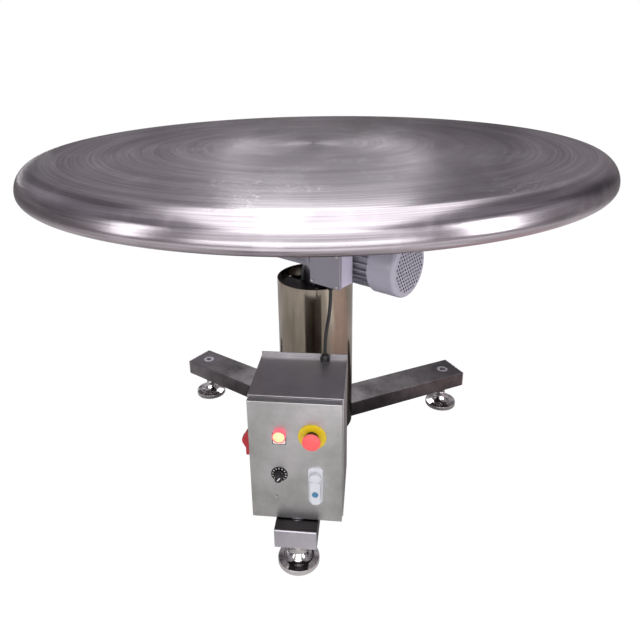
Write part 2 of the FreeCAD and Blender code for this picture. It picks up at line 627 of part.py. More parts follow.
def gland(label, spot, level, along, bore, wall):
    """A cable gland: a hexagon on the wall, a domed nut, and its bore."""
    across, front = spot
    sign = "-" if along == "-Z" else ""
    base = hexagon(f"{label}_hex", "gland_radius", "gland_nut_height", (across, front, level), along)
    top = f"({level}) + {sign}gland_nut_height"
    nut = cone(f"{label}_nut", "gland_radius * 0.95", "gland_radius * 0.72",
               "gland_length - gland_nut_height", (across, front, top), along)
    tail_along = {"-Z": "Z", "Z": "-Z"}[along]
    tail = rod(f"{label}_tail", "cable_radius + 2", f"{wall} + 4", (across, front, level), tail_along)
    start = f"({level}) - {sign}({wall} + 5)"
    hole = rod(f"{label}_bore", bore, f"gland_length + {wall} + 6", (across, front, start), along)
    return cut(label, fuse(f"{label}_solid", base, nut, tail), hole)


def build_glands():
    """The motor's gland, the roof gland of the control box and the gland for the mains lead."""
    on_motor("motor_gland", gland("motor_gland", ("motor_gland_along", "-motor_gland_front"),
                                  TERMINAL_FOOT, "-Z", "cable_radius", "terminal_wall"))
    roof = "door_bottom + door_height + box_side"
    keep("roof_gland", gland("roof_gland", ("roof_gland_side", "-roof_gland_front"), roof, "Z",
                             "cable_radius", "box_sheet"))
    keep("mains_gland", gland("mains_gland", ("-mains_gland_side", "-mains_gland_front"),
                              "arm_bottom + arm_height", "-Z", "mains_gland_bore", "box_sheet"))


def build_column():
    """The polished column tube and the deck plate set down inside its open top."""
    height = f"{COLUMN_TOP} - arm_bottom"
    tube = rod("column_outside", "column_radius", height, (0, 0, "arm_bottom"))
    bore = rod("column_inside", "column_radius - column_sheet", height, (0, 0, "arm_bottom"))
    keep("column_tube", cut("column_tube", tube, bore))
    inner = "column_radius - column_sheet"
    deck = rod("deck_disc", inner, "deck_thickness", (0, 0, f"{DECK_TOP} - deck_thickness"))
    shelf = rod("shelf_disc", inner, "deck_thickness", (0, 0, f"{SHELF_TOP} - deck_thickness"))
    away = block("shelf_away", ("2 * column_radius", "2 * column_radius", "deck_thickness"),
                 ("-column_radius", "-shelf_edge", f"{SHELF_TOP} - deck_thickness"))
    shelf = place(cut("shelf_segment", shelf, away), (0, 0, 0), SQUARE_TO_SHELF)
    keep("column_deck", group("deck_group", deck, shelf))


def build_arms():
    """Three box-section arms, their welded end plates, and the bushes that take the feet."""
    plates, bushes, nuts = [], [], []
    for side, angle in (("front", "0"), ("right", "120"), ("left", "240")):
        turn = ((0, 0, 1), angle)
        reach = "arm_reach - end_plate_thickness"
        outer = block(f"{side}_outer", ("arm_width", reach, "arm_height"),
                      ("-arm_width / 2", f"-({reach})", "arm_bottom"))
        inner = block(f"{side}_inner", ("arm_width - 2 * arm_sheet", reach, "arm_height - 2 * arm_sheet"),
                      ("-arm_width / 2 + arm_sheet", f"-({reach})", "arm_bottom + arm_sheet"))
        cope = rod(f"{side}_cope", "column_radius", "arm_height", (0, 0, "arm_bottom"))
        spot = (0, "-foot_circle", "arm_bottom")
        hole = rod(f"{side}_hole", "bush_radius", "arm_height", spot)
        keep(f"arm_{side}", cut(f"arm_{side}", outer, inner, cope, hole), turn=turn)
        plate = block(f"{side}_plate", ("arm_width", "end_plate_thickness", "arm_height"),
                      ("-arm_width / 2", "-arm_reach", "arm_bottom"))
        plates.append(place(group(f"{side}_plate_turned", plate), (0, 0, 0), turn))
        bush = cut(f"{side}_bush", rod(f"{side}_bush_outside", "bush_radius", "arm_height", spot),
                   rod(f"{side}_bush_bore", "stud_radius + running_gap", "arm_height", spot))
        bushes.append(place(bush, (0, 0, 0), turn))
        below = (0, "-foot_circle", "arm_bottom - lock_nut_height")
        nut = cut(f"{side}_nut", hexagon(f"{side}_nut_hex", "hex_flat", "lock_nut_height", below),
                  rod(f"{side}_nut_bore", "stud_radius + running_gap", "lock_nut_height", below))
        nuts.append(place(nut, (0, 0, 0), turn))
        build_foot(side, angle)
    keep("arm_end_plates", group("arm_end_plates", *plates))
    keep("foot_bushes", group("foot_bushes", *bushes))
    keep("foot_lock_nuts", group("foot_lock_nuts", *nuts))


def build_foot(side, angle):
    """A levelling foot: a bell-shaped base and a stud with a hexagon collar."""
    spot = (f"foot_circle * sin({angle})", f"-foot_circle * cos({angle})", 0)
    ring = "foot_radius - foot_ring_width"
    base = turned(f"foot_{side}_base", "XZ_Plane", "V_Axis", [
        ("0", "foot_bell_height"), ("0", "0"), ("foot_radius - 1", "0"), ("foot_radius", "1"),
        ("foot_radius", "foot_rim_height - 2"), ("foot_radius - 2", "foot_rim_height"),
        (ring, "foot_rim_height + 2"),
        ("foot_neck_radius", "foot_bell_height - 6", "-foot_bell_height"),
        ("foot_neck_radius", "foot_bell_height")])
    keep(f"foot_{side}_base", base, at=spot)
    collar = hexagon(f"{side}_collar", "hex_flat - 1", "stud_collar", (0, 0, "foot_bell_height"))
    stud = rod(f"{side}_stud", "stud_radius", "stud_top - foot_bell_height - 1", (0, 0, "foot_bell_height"))
    tip = cone(f"{side}_tip", "stud_radius", "stud_radius - 1", "1", (0, 0, "stud_top - 1"))
    keep(f"foot_{side}_stud", fuse(f"foot_{side}_stud", stud, collar, tip), at=spot)


FRONT = "(-door_front)"
BOX_FRONT = "(-door_front + door_pan + door_gap)"
BOX_BACK = "(-door_front + door_pan + door_gap + box_depth)"
BOX_HALF = "(door_width / 2 + box_side)"
BOX_FOOT = "(arm_bottom + arm_height)"
BOX_ROOF = "(door_bottom + door_height + box_side)"


def build_box_shell():
    """The folded shell of the control box, open at the front inside a narrow lip."""
    shell = block("shell_outside", (f"2 * {BOX_HALF}", "box_depth", f"{BOX_ROOF} - {BOX_FOOT}"),
                  (f"-{BOX_HALF}", BOX_FRONT, BOX_FOOT))
    inside = block("shell_inside", (f"2 * ({BOX_HALF} - box_sheet)", "box_depth - 2 * box_sheet",
                                    f"{BOX_ROOF} - {BOX_FOOT} - 2 * box_sheet"),
                   (f"-{BOX_HALF} + box_sheet", f"{BOX_FRONT} + box_sheet", f"{BOX_FOOT} + box_sheet"))
    mouth = block("shell_mouth", (f"2 * ({BOX_HALF} - box_lip)", "box_sheet",
                                  f"{BOX_ROOF} - {BOX_FOOT} - 2 * box_lip"),
                  (f"-{BOX_HALF} + box_lip", BOX_FRONT, f"{BOX_FOOT} + box_lip"))
    tail = "cable_radius + 2"
    roof_hole = rod("roof_hole", tail, "box_sheet",
                    ("roof_gland_side", "-roof_gland_front", f"{BOX_ROOF} - box_sheet"))
    floor_hole = rod("floor_hole", tail, "box_sheet", ("-mains_gland_side", "-mains_gland_front", BOX_FOOT))
    side_hole = rod("side_hole", "isolator_shaft_radius + 1", "box_sheet",
                    (f"-{BOX_HALF}", "-isolator_front", "isolator_level"), "X")
    keep("box_shell", cut("box_shell", shell, inside, mouth, roof_hole, floor_hole, side_hole))
    keep("back_plate", block("back_plate", (f"2 * {BOX_HALF}", "back_plate_thickness",
                                            f"{BOX_ROOF} + back_plate_rise - {BOX_FOOT}"),
                             (f"-{BOX_HALF}", BOX_BACK, BOX_FOOT)))


HINGE_X = "(-door_width / 2 + hinge_inset)"
HINGE_Y = "(-door_front + hinge_back)"
HINGE_LEVELS = ("(door_bottom + hinge_level)", "(door_bottom + door_height - hinge_level)")


def door_hole(label, side, level, radius):
    return rod(label, radius, "door_sheet", (side, FRONT, f"door_bottom + {level}"), "Y")


def build_door():
    """The pan-shaped door with the holes for its controls, its seal and its hinges."""
    pan = block("pan_outside", ("door_width", "door_pan", "door_height"),
                ("-door_width / 2", FRONT, "door_bottom"))
    inside = block("pan_inside", ("door_width - 2 * door_sheet", "door_pan", "door_height - 2 * door_sheet"),
                   ("-door_width / 2 + door_sheet", f"{FRONT} + door_sheet", "door_bottom + door_sheet"))
    holes = [
        door_hole("estop_hole", "estop_side", "estop_level", "barrel_radius"),
        door_hole("lamp_hole", "-lamp_side", "lamp_level", "barrel_radius"),
        door_hole("dial_hole", "-dial_side", "dial_level", "dial_bush_radius"),
        door_hole("gauge_hole", "-gauge_hole_side", "gauge_hole_level", "gauge_hole_radius"),
        door_hole("lock_hole", "lock_side", "lock_pivot_level", "lock_shaft_radius + 2"),
    ]
    brackets, knuckles = [], []
    for index, level in enumerate(HINGE_LEVELS):
        low = f"{level} - hinge_height / 2"
        holes.append(block(f"hinge_notch_{index}", ("door_sheet", "door_pan", "hinge_height + 2"),
                           ("-door_width / 2", f"{FRONT} + door_sheet", f"{low} - 1")))
        leaf = block(f"hinge_leaf_{index}",
                     ("hinge_leaf", f"{BOX_FRONT} - {HINGE_Y} + hinge_leaf / 2", "hinge_height"),
                     (f"{HINGE_X} - hinge_leaf / 2", f"{HINGE_Y} - hinge_leaf / 2", low))
        pin = rod(f"hinge_pin_{index}", "hinge_pin_radius - running_gap", "hinge_height + 2 * hinge_knuckle",
                  (HINGE_X, HINGE_Y, f"{low} - hinge_knuckle"))
        brackets.append(fuse(f"hinge_bracket_{index}", leaf, pin))
        depth = "hinge_back + hinge_leaf / 2 + 1 - door_sheet"
        for end, start in enumerate((f"{low} - hinge_knuckle - 0.4", f"{low} + hinge_height + 0.4")):
            knuckle = block(f"hinge_knuckle_{index}_{end}", ("hinge_leaf + 3", depth, "hinge_knuckle"),
                            (f"{HINGE_X} - hinge_leaf / 2 - 1", f"{FRONT} + door_sheet", start))
            eye = rod(f"hinge_eye_{index}_{end}", "hinge_pin_radius", "hinge_knuckle",
                      (HINGE_X, HINGE_Y, start))
            knuckles.append(cut(f"hinge_block_{index}_{end}", knuckle, eye))
    keep("box_door", cut("box_door", pan, inside, *holes))
    keep("hinge_brackets", group("hinge_brackets", *brackets))
    keep("hinge_knuckles", group("hinge_knuckles", *knuckles))
    seal_depth = "door_pan + door_gap - door_sheet - seal_gap"
    ring = block("seal_outside", ("door_width - 2 * seal_inset", seal_depth, "door_height - 2 * seal_inset"),
                 ("-door_width / 2 + seal_inset", f"{FRONT} + door_sheet", "door_bottom + seal_inset"))
    core = block("seal_inside", ("door_width - 2 * (seal_inset + seal_width)", seal_depth,
                                 "door_height - 2 * (seal_inset + seal_width)"),
                 ("-door_width / 2 + seal_inset + seal_width", f"{FRONT} + door_sheet",
                  "door_bottom + seal_inset + seal_width"))
    keep("door_seal", cut("door_seal", ring, core))


def build_inner_parts():
    """The mounting panel with its rail, the speed inverter and the terminal blocks."""
    back = f"{BOX_BACK} - box_sheet"
    face = f"{back} - panel_standoff - panel_sheet"
    low = f"{BOX_FOOT} + ({BOX_ROOF} - {BOX_FOOT} - panel_height) / 2"
    sheet_part = block("panel_sheet_part", ("panel_width", "panel_sheet", "panel_height"),
                       ("-panel_width / 2", face, low))
    posts = [rod("panel_post", "4", "panel_standoff", (across, f"{back} - panel_standoff", level), "Y")
             for across in ("-panel_width / 2 + 12", "panel_width / 2 - 12")
             for level in (f"{low} + 12", f"{low} + panel_height - 12")]
    rail = block("rail_back", ("panel_width - 20", "rail_depth", "rail_height * 0.77"),
                 ("-panel_width / 2 + 10", f"{face} - rail_depth", "rail_level - rail_height * 0.385"))
    flange = block("rail_flange", ("panel_width - 20", "1.5", "rail_height"),
                   ("-panel_width / 2 + 10", f"{face} - rail_depth", "rail_level - rail_height / 2"))
    keep("inner_panel", fuse("inner_panel", sheet_part, rail, flange, *posts))
    case = block("inverter_case", ("inverter_width", "inverter_depth", "inverter_height"),
                 ("inverter_left", f"{face} - inverter_depth", "inverter_bottom"))
    case = rounded("inverter_rounded", case, "4", lambda m, run: abs(run.y) < 1e-6 and m.y < number(face) - 1)
    display = block("inverter_display", ("inverter_width / 2", "3", "inverter_width / 4"),
                    ("inverter_left + inverter_width / 4", f"{face} - inverter_depth - 1",
                     "inverter_bottom + inverter_height - 40"))
    keep("speed_inverter", cut("speed_inverter", case, display))
    blocks = [block(f"terminal_block_{index}",
                    ("terminal_block_pitch - 0.6", "terminal_block_depth", "rail_height + 8"),
                    (f"-terminal_block_count * terminal_block_pitch / 2 + {index} * terminal_block_pitch",
                     f"{face} - rail_depth - terminal_block_depth", "rail_level - rail_height / 2 - 4"))
              for index in range(int(number("terminal_block_count")))]
    keep("terminal_blocks", group("terminal_blocks", *blocks))


def build_estop():
    """The emergency stop: collar, barrel with its contact block, sliding stem and turning head."""
    spot = ("estop_side", FRONT, "door_bottom + estop_level")
    collar = rod("collar_disc", "collar_radius", "collar_thickness", spot, "-Y")
    hole = rod("collar_hole", "barrel_radius", "collar_thickness", spot, "-Y")
    keep("estop_collar", cut("estop_collar", collar, hole))
    outer = (spot[0], f"{FRONT} - barrel_out", spot[2])
    tube = rod("estop_tube", "barrel_radius", "barrel_out + barrel_depth * 0.4", outer, "Y")
    flange = rod("estop_flange", "barrel_flange_radius", "barrel_out - collar_thickness", outer, "Y")
    nut = rod("estop_nut", "barrel_flange_radius", "nut_thickness",
              (spot[0], f"{FRONT} + door_sheet", spot[2]), "Y")
    contact = block("estop_contact", ("estop_block", "barrel_depth * 0.6", "estop_block * 1.4"),
                    ("estop_side - estop_block / 2", f"{FRONT} + barrel_depth * 0.4",
                     "door_bottom + estop_level - estop_block * 0.7"))
    bore = rod("estop_bore", "estop_stem_radius + running_gap", "barrel_out + barrel_depth * 0.5", outer, "Y")
    keep("estop_barrel", cut("estop_barrel", fuse("estop_barrel_solid", tube, flange, nut, contact), bore))
    back = (spot[0], f"{FRONT} - mushroom_back", spot[2])
    stem = rod("stem_body", "estop_stem_radius", "mushroom_back + 12", back, "Y")
    neck = rod("stem_neck", "estop_neck_radius", "estop_neck_length", back, "-Y")
    keep("estop_stem", fuse("estop_stem", stem, neck))
    head = turned("estop_head", "XY_Plane", "V_Axis", [
        ("0", "estop_neck_length + 0.3"), ("estop_neck_radius + running_gap", "estop_neck_length + 0.3"),
        ("estop_neck_radius + running_gap", "0.3"),
        ("mushroom_radius * 0.55", "0.3"), ("mushroom_radius - 1", "3"), ("mushroom_radius", "4.5"),
        ("mushroom_radius", "mushroom_out - mushroom_back - mushroom_dome"),
        ("0", "mushroom_out - mushroom_back",
         "mushroom_radius ^ 2 / (2 * mushroom_dome) + mushroom_dome / 2")])
    keep("estop_head", head, at=("estop_side", f"{FRONT} - mushroom_back", "door_bottom + estop_level"),
         turn=((1, 0, 0), "180"))


def build_lamp():
    """The pilot lamp: a holder through the door with its bezel, and a domed lens."""
    spot = ("-lamp_side", FRONT, "door_bottom + lamp_level")
    bezel = rod("lamp_bezel", "bezel_radius", "bezel_out", spot, "-Y")
    seat = rod("lamp_seat", "lens_radius", "bezel_out - 3", (spot[0], f"{FRONT} - 3", spot[2]), "-Y")
    tube = rod("lamp_tube", "barrel_radius", "lamp_depth", spot, "Y")
    nut = rod("lamp_nut", "barrel_flange_radius", "nut_thickness",
              (spot[0], f"{FRONT} + door_sheet", spot[2]), "Y")
    keep("lamp_holder", cut("lamp_holder", fuse("lamp_holder_solid", bezel, tube, nut), seat))
    dome = "lens_out - bezel_out"
    keep("lamp_lens", turned("lamp_lens", "XY_Plane", "V_Axis", [
        ("0", "3"), ("lens_radius", "3"), ("lens_radius", "bezel_out"),
        ("0", "lens_out", f"lens_radius ^ 2 / (2 * ({dome})) + ({dome}) / 2")]),
        at=("-lamp_side", FRONT, "door_bottom + lamp_level"), turn=((1, 0, 0), "180"))


def build_dial():
    """The speed potentiometer behind the door and the knob on its shaft."""
    side, level = "-dial_side", "door_bottom + dial_level"
    can = rod("dial_can", "dial_can_radius", "dial_can_depth",
              (side, f"{FRONT} + door_sheet + 2", level), "Y")
    washer = rod("dial_washer", "dial_bush_radius + 3", "2", (side, f"{FRONT} + door_sheet", level), "Y")
    bush = rod("dial_bush", "dial_bush_radius", "door_sheet + 3", (side, f"{FRONT} - 2", level), "Y")
    bore = rod("dial_bore", "dial_shaft_radius + running_gap", "door_sheet + 14",
               (side, f"{FRONT} - 2", level), "Y")
    keep("potentiometer", cut("potentiometer", fuse("potentiometer_solid", can, washer, bush), bore))
    shaft = rod("knob_shaft", "dial_shaft_radius", "knob_gap + door_sheet + 8",
                (side, f"{FRONT} - knob_gap", level), "Y")
    skirt = cone("knob_skirt", "knob_skirt", "knob_radius", "4", (side, f"{FRONT} - knob_gap", level), "-Y")
    grip = cone("knob_grip", "knob_radius", "knob_radius - 0.7", "knob_out - knob_gap - 4",
                (side, f"{FRONT} - knob_gap - 4", level), "-Y")
    flutes = []
    for index in range(12):
        across = f"{side} + (knob_radius + 0.5) * cos({30 * index})"
        up = f"{level} + (knob_radius + 0.5) * sin({30 * index})"
        flutes.append(rod(f"knob_flute_{index}", "1", "knob_out",
                          (across, f"{FRONT} - knob_gap - 5", up), "-Y"))
    keep("speed_knob", fuse("speed_knob", shaft, skirt, cut("knob_fluted", grip, *flutes)))


LOCK_Z = "(door_bottom + lock_pivot_level)"


def build_lock():
    """The swing-handle lock: plate, spindle with ears, cam, lever and push button."""
    low, high = "door_bottom + lock_bottom", "door_bottom + lock_bottom + lock_height"
    body = new_body("lock_plate_body")
    sketch = new_sketch(body, "XZ_Plane")
    half = "lock_width / 2"
    left, right = f"lock_side - {half}", f"lock_side + {half}"
    shoulder = f"{high} - lock_arch"
    outline(sketch, [
        (left, f"{low} + 10"), (f"{left} + 7", low), (f"{right} - 7", low), (right, f"{low} + 10"),
        (right, shoulder), (left, shoulder, "lock_width * 0.8")])
    pad(body, sketch, "lock_plate_out")
    place(body, (0, FRONT, 0))
    barrel = rod("lock_barrel", "lock_shaft_radius + 2", "12", ("lock_side", FRONT, LOCK_Z), "Y")
    bore = rod("lock_bore", "lock_shaft_radius + running_gap", "lock_plate_out + 12",
               ("lock_side", f"{FRONT} - lock_plate_out", LOCK_Z), "Y")
    keep("lock_plate", cut("lock_plate", fuse("lock_plate_solid", body, barrel), bore))
    out = "lock_plate_out + lever_gap"
    disc = rod("lock_disc", "lock_spindle_radius", "lock_disc_thickness",
               ("lock_side", f"{FRONT} - ({out})", LOCK_Z), "-Y")
    shaft_length = f"{out} + door_pan + door_gap + box_sheet + 1 + cam_thickness"
    shaft = rod("lock_shaft", "lock_shaft_radius", shaft_length,
                ("lock_side", f"{FRONT} - ({out})", LOCK_Z), "Y")
    head = rod("lock_head", "lock_spindle_radius", f"lock_pin_out + lever_eye - ({out})",
               ("lock_side", f"{FRONT} - ({out})", LOCK_Z), "-Y")
    tongue = "(lever_width / 2 - lock_ear - 1)"
    slot_half = f"({tongue} + lever_side_gap)"
    behind = f"{FRONT} - lock_pin_out - 2 * lever_eye"
    slot_depth = f"lock_pin_out + 2 * lever_eye - ({out} + lock_disc_thickness)"
    slot = block("lock_slot", (f"2 * {slot_half}", slot_depth, "lock_spindle_radius + lever_eye + lever_gap"),
                 (f"lock_side - {slot_half}", behind, f"{LOCK_Z} - lock_spindle_radius"))
    below = block("lock_head_below", ("2 * lock_spindle_radius", slot_depth, "lock_spindle_radius"),
                  ("lock_side - lock_spindle_radius", behind,
                   f"{LOCK_Z} - lock_head_drop - lock_spindle_radius"))
    pin = rod("lock_pin", "lock_pin_radius - running_gap", "lever_width - 2 * lock_pin_inset",
              ("lock_side - lever_width / 2 + lock_pin_inset", f"{FRONT} - lock_pin_out", LOCK_Z), "X")
    keep("lock_spindle", fuse("lock_spindle", disc, shaft, cut("lock_head_cut", head, slot, below), pin))
    cam_front = f"{BOX_FRONT} + box_sheet + 1"
    cam = block("cam_blade", ("cam_reach + lock_shaft_radius + 2", "cam_thickness", "cam_width"),
                ("lock_side - lock_shaft_radius - 2", cam_front, f"{LOCK_Z} - cam_width / 2"))
    hole = rod("cam_hole", "lock_shaft_radius", "cam_thickness", ("lock_side", cam_front, LOCK_Z), "Y")
    keep("lock_cam", cut("lock_cam", cam, hole))
    face = f"{FRONT} - lock_plate_out - 2 * lever_gap - lock_disc_thickness"
    outside = f"{face} - lever_thickness"
    fork = f"{LOCK_Z} - (lever_length - lever_width / 2)"
    eye = rod("lever_knuckle", "lever_eye", f"2 * {tongue}",
              (f"lock_side - {tongue}", f"{FRONT} - lock_pin_out", LOCK_Z), "X")
    root = block("lever_root", (f"2 * {tongue}", "lever_eye", "4 * lever_eye"),
                 (f"lock_side - {tongue}", f"{FRONT} - lock_pin_out - lever_eye",
                  f"{LOCK_Z} - 4 * lever_eye"))
    shank = block("lever_shank", ("lever_width", "lever_thickness", "lever_length - lever_width / 2 - 8"),
                  ("lock_side - lever_width / 2", outside, fork))
    end = rod("lever_end", "lever_width / 2", "lever_thickness", ("lock_side", face, fork), "-Y")
    eye_bore = rod("lever_bore", "lock_pin_radius", "lever_width",
                   ("lock_side - lever_width / 2", f"{FRONT} - lock_pin_out", LOCK_Z), "X")
    well = rod("button_well", "button_radius + 0.1", "button_travel + button_seat",
               ("lock_side", outside, "door_bottom + button_level"), "Y")
    keep("lock_lever", cut("lock_lever", fuse("lock_lever_solid", eye, root, shank, end), eye_bore, well))
    button = rod("button_disc", "button_radius", "button_rise + button_seat - 0.1",
                 ("lock_side", f"{outside} - button_rise", "door_bottom + button_level"), "Y")
    keep("lock_button", group("button_group", button))


def build_isolator():
    """The isolator switch behind the left wall and its turn handle outside."""
    wall = f"-{BOX_HALF}"
    centre = (wall, "-isolator_front", "isolator_level")
    body = block("isolator_body", ("isolator_depth", "isolator_block", "isolator_block"),
                 (f"{wall} + box_sheet", "-isolator_front - isolator_block / 2",
                  "isolator_level - isolator_block / 2"))
    bore = rod("isolator_bore", "isolator_shaft_radius + running_gap", "box_sheet + 20", centre, "X")
    keep("isolator_switch", cut("isolator_switch", body, bore))
    disc = cone("handle_disc", "handle_disc_radius", "handle_disc_radius - 2", "handle_disc_out - 0.5",
                (f"{wall} - 0.5", "-isolator_front", "isolator_level"), "-X")
    grip = new_body("handle_grip")
    sketch = new_sketch(grip, "XZ_Plane")
    top, foot = "isolator_level + handle_length * 0.44", "isolator_level - handle_length * 0.56"
    outline(sketch, [
        (f"{wall} - 2", top), (f"{wall} - handle_tip_out", top),
        (f"{wall} - handle_out", "isolator_level + handle_knee"), (f"{wall} - handle_out", "isolator_level"),
        (f"{wall} - handle_foot_out", "isolator_level - handle_knee * 2"),
        (f"{wall} - handle_foot_out", foot),
        (f"{wall} - 2", foot)])
    pad(grip, sketch, "handle_width", both=True)
    place(grip, (0, "-isolator_front", 0))
    shaft = rod("handle_shaft", "isolator_shaft_radius", "box_sheet + 16",
                (f"{wall} - 2", "-isolator_front", "isolator_level"), "X")
    keep("isolator_handle", fuse("isolator_handle", disc, grip, shaft))


def cable_path():
    """The motor cable's route from the motor's gland down to the roof gland."""
    angle = math.radians(number("motor_angle"))
    along, front = number("motor_gland_along"), -number("motor_gland_front")
    start = Vector(along * math.cos(angle) + front * math.sin(angle),
                   -along * math.sin(angle) + front * math.cos(angle),
                   number(f"{TERMINAL_FOOT} - gland_length + 4"))
    end = Vector(number("roof_gland_side"), -number("roof_gland_front"),
                 number(f"{BOX_ROOF} + gland_length - 4"))
    return [start, start + Vector(0, 0, -52), end + Vector(0, 0, 46), end]


def smooth_wire(points):
    """Straight runs joined by tangent arcs, each as large as its two runs allow."""
    edges, last = [], points[0]
    for before, corner, after in zip(points, points[1:], points[2:]):
        into, out = corner - before, after - corner
        turn = into.getAngle(out)
        cutback = 0.45 * min(into.Length, out.Length)
        radius = cutback / math.tan(turn / 2)
        print("cable radius", round(radius, 1), "turn", round(math.degrees(turn), 1))
        into.normalize()
        out.normalize()
        first, second = corner - into * cutback, corner + out * cutback
        middle = (out - into).normalize()
        centre = corner + middle * (radius / math.cos(turn / 2))
        top = centre - middle * radius
        edges.append(Part.LineSegment(last, first).toShape())
        edges.append(Part.Arc(first, top, second).toShape())
        last = second
    edges.append(Part.LineSegment(last, points[-1]).toShape())
    return Part.Wire(edges)


def build_cable():
    """The black lead between the motor and the control box."""
    path = smooth_wire(cable_path())
    start = path.Edges[0]
    circle = Part.makeCircle(number("cable_radius"), start.valueAt(start.FirstParameter),
                             start.tangentAt(start.FirstParameter))
    tube = path.makePipeShell([Part.Wire([circle])], True, True)
    item = add("Part::Feature", "motor_cable")
    item.Shape = tube
    print("cable length", round(path.Length, 1), "volume ratio",
          round(tube.Volume / (math.pi * number("cable_radius") ** 2 * path.Length), 4))
    keep("motor_cable", item)


def check_document():
    """Stop if any object failed or any piece is not a valid solid."""
    doc.recompute()
    for item in doc.Objects:
        if "Invalid" in item.State or "Error" in item.State:
            raise RuntimeError(f"{item.Label}: {item.State}")
    for node, item in PARTS.items():
        if item.Shape.isNull() or not item.Shape.isValid() or not item.Shape.Solids:
            raise RuntimeError(f"{node} is not a valid solid")


def write_parts():
    os.makedirs("parts", exist_ok=True)
    for node, item in PARTS.items():
        item.Shape.exportStep(f"parts/{node}.step")
    print(len(PARTS), "pieces")


build_disc()
build_stiffeners()
build_hub()
build_bearing_housing()
build_gearbox()
build_pedestal()
build_frame_bolts()
build_motor()
build_cowl()
build_terminal_box()
build_glands()
build_column()
build_arms()
build_box_shell()
build_door()
build_inner_parts()
build_estop()
build_lamp()
build_dial()
build_lock()
build_isolator()
build_cable()
check_document()
write_parts()
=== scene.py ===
"""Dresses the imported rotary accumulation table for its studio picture.

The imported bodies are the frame. Smooth turned pieces take the place of the plain ones, the other
nodes keep their shape and get softened edges, and every surface gets a procedural finish.
Pieces are sized in millimetres, and lamps, floor patches and patterns in metres.
"""

import json
import logging
import math
from dataclasses import dataclass, field
from enum import Enum

import bpy
import numpy as np
from mathutils import Matrix, Vector

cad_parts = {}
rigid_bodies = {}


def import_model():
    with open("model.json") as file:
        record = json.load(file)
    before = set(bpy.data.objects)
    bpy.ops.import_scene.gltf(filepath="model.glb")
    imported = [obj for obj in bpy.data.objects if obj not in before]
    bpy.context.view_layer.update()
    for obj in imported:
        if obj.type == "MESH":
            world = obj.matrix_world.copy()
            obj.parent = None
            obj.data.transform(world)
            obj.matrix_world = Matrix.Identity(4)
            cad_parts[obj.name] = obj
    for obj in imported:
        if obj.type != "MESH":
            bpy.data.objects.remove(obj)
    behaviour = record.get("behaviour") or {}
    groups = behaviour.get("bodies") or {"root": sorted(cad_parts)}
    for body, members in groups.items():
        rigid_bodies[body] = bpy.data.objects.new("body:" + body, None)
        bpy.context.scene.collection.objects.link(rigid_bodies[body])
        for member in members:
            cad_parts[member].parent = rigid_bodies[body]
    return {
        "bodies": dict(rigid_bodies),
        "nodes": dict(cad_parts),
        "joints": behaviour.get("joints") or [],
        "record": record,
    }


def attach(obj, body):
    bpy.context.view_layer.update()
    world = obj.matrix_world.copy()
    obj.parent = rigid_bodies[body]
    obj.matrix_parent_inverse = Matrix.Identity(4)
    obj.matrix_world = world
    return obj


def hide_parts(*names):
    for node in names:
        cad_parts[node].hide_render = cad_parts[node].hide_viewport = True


Node = bpy.types.Node
Socket = bpy.types.NodeSocket
Tree = bpy.types.NodeTree
Profile = list[tuple[float, float]]
Stops = tuple[tuple[float, str], ...]

LOG = logging.getLogger("table")
MM = 0.001
MOTOR_ANGLE = math.radians(33)
RIM_START = -0.254
RIM_BLEND = 0.05
FRONT = -465.0
PICTURE = 640
SENSOR = 36.0
RGBA = {"data_type": "RGBA"}
SMOOTH = {"interpolation_type": "SMOOTHSTEP"}
TIMES = {"operation": "MULTIPLY"}
TIMES_PLUS = {"operation": "MULTIPLY_ADD"}
RAGGED = {"Roughness": 0.55}
# Marks to the metre: a stain is about 140 mm wide, a cloud in paint 45 mm.
STAIN = 7.0
CLOUD = 22.0
# Broad marks of a metal are this many times as wide as its fine ones.
BROAD = 14


class Grain(Enum):
    """The way the fine marks of a metal run."""

    RINGS = "rings"
    UPRIGHT = "upright"
    ACROSS = "across"
    CLOUDY = "cloudy"


@dataclass(frozen=True)
class Metal:
    """A worked metal: its tones, gloss and the grain of its surface.

    The fine marks are given as so many to the metre. Real ones are under 0.1 mm wide and wouldn't
    show, so they are drawn 1 to 8 mm wide.
    """

    name: str
    light: str
    dark: str
    roughness: float
    grain: Grain
    fine: float = 900.0
    depth: float = 0.00002
    spread: float = 0.08
    stains: float = 0.3
    metallic: float = 1.0
    fold: float = 0.0


@dataclass(frozen=True)
class Moulded:
    """A painted or moulded surface: its tone, gloss and texture.

    The scale is so many grains to the metre. They are drawn 1 to 2 mm wide, so that they show.
    """

    name: str
    colour: str
    roughness: float
    bump: float = 0.00003
    scale: float = 900.0
    mottle: float = 0.12
    coat: float = 0.0
    glow: float = 0.0


def linear(colour: str) -> tuple[float, float, float, float]:
    """The linear colour of a hex sRGB colour."""
    parts = [int(colour[i:i + 2], 16) / 255 for i in (1, 3, 5)]
    return (*(c / 12.92 if c <= 0.04045 else ((c + 0.055) / 1.055) ** 2.4 for c in parts), 1.0)


def feed(tree: Tree, item: Node, links: dict) -> None:
    """Feeds a node's inputs.

    Args:
        tree: the node tree that holds it.
        item: the node.
        links: input name or number to what feeds it: a node's first output, a socket or a value.
    """
    for key, value in links.items():
        source = value.outputs[0] if isinstance(value, Node) else value
        if isinstance(source, Socket):
            tree.links.new(source, item.inputs[key])
        else:
            item.inputs[key].default_value = source


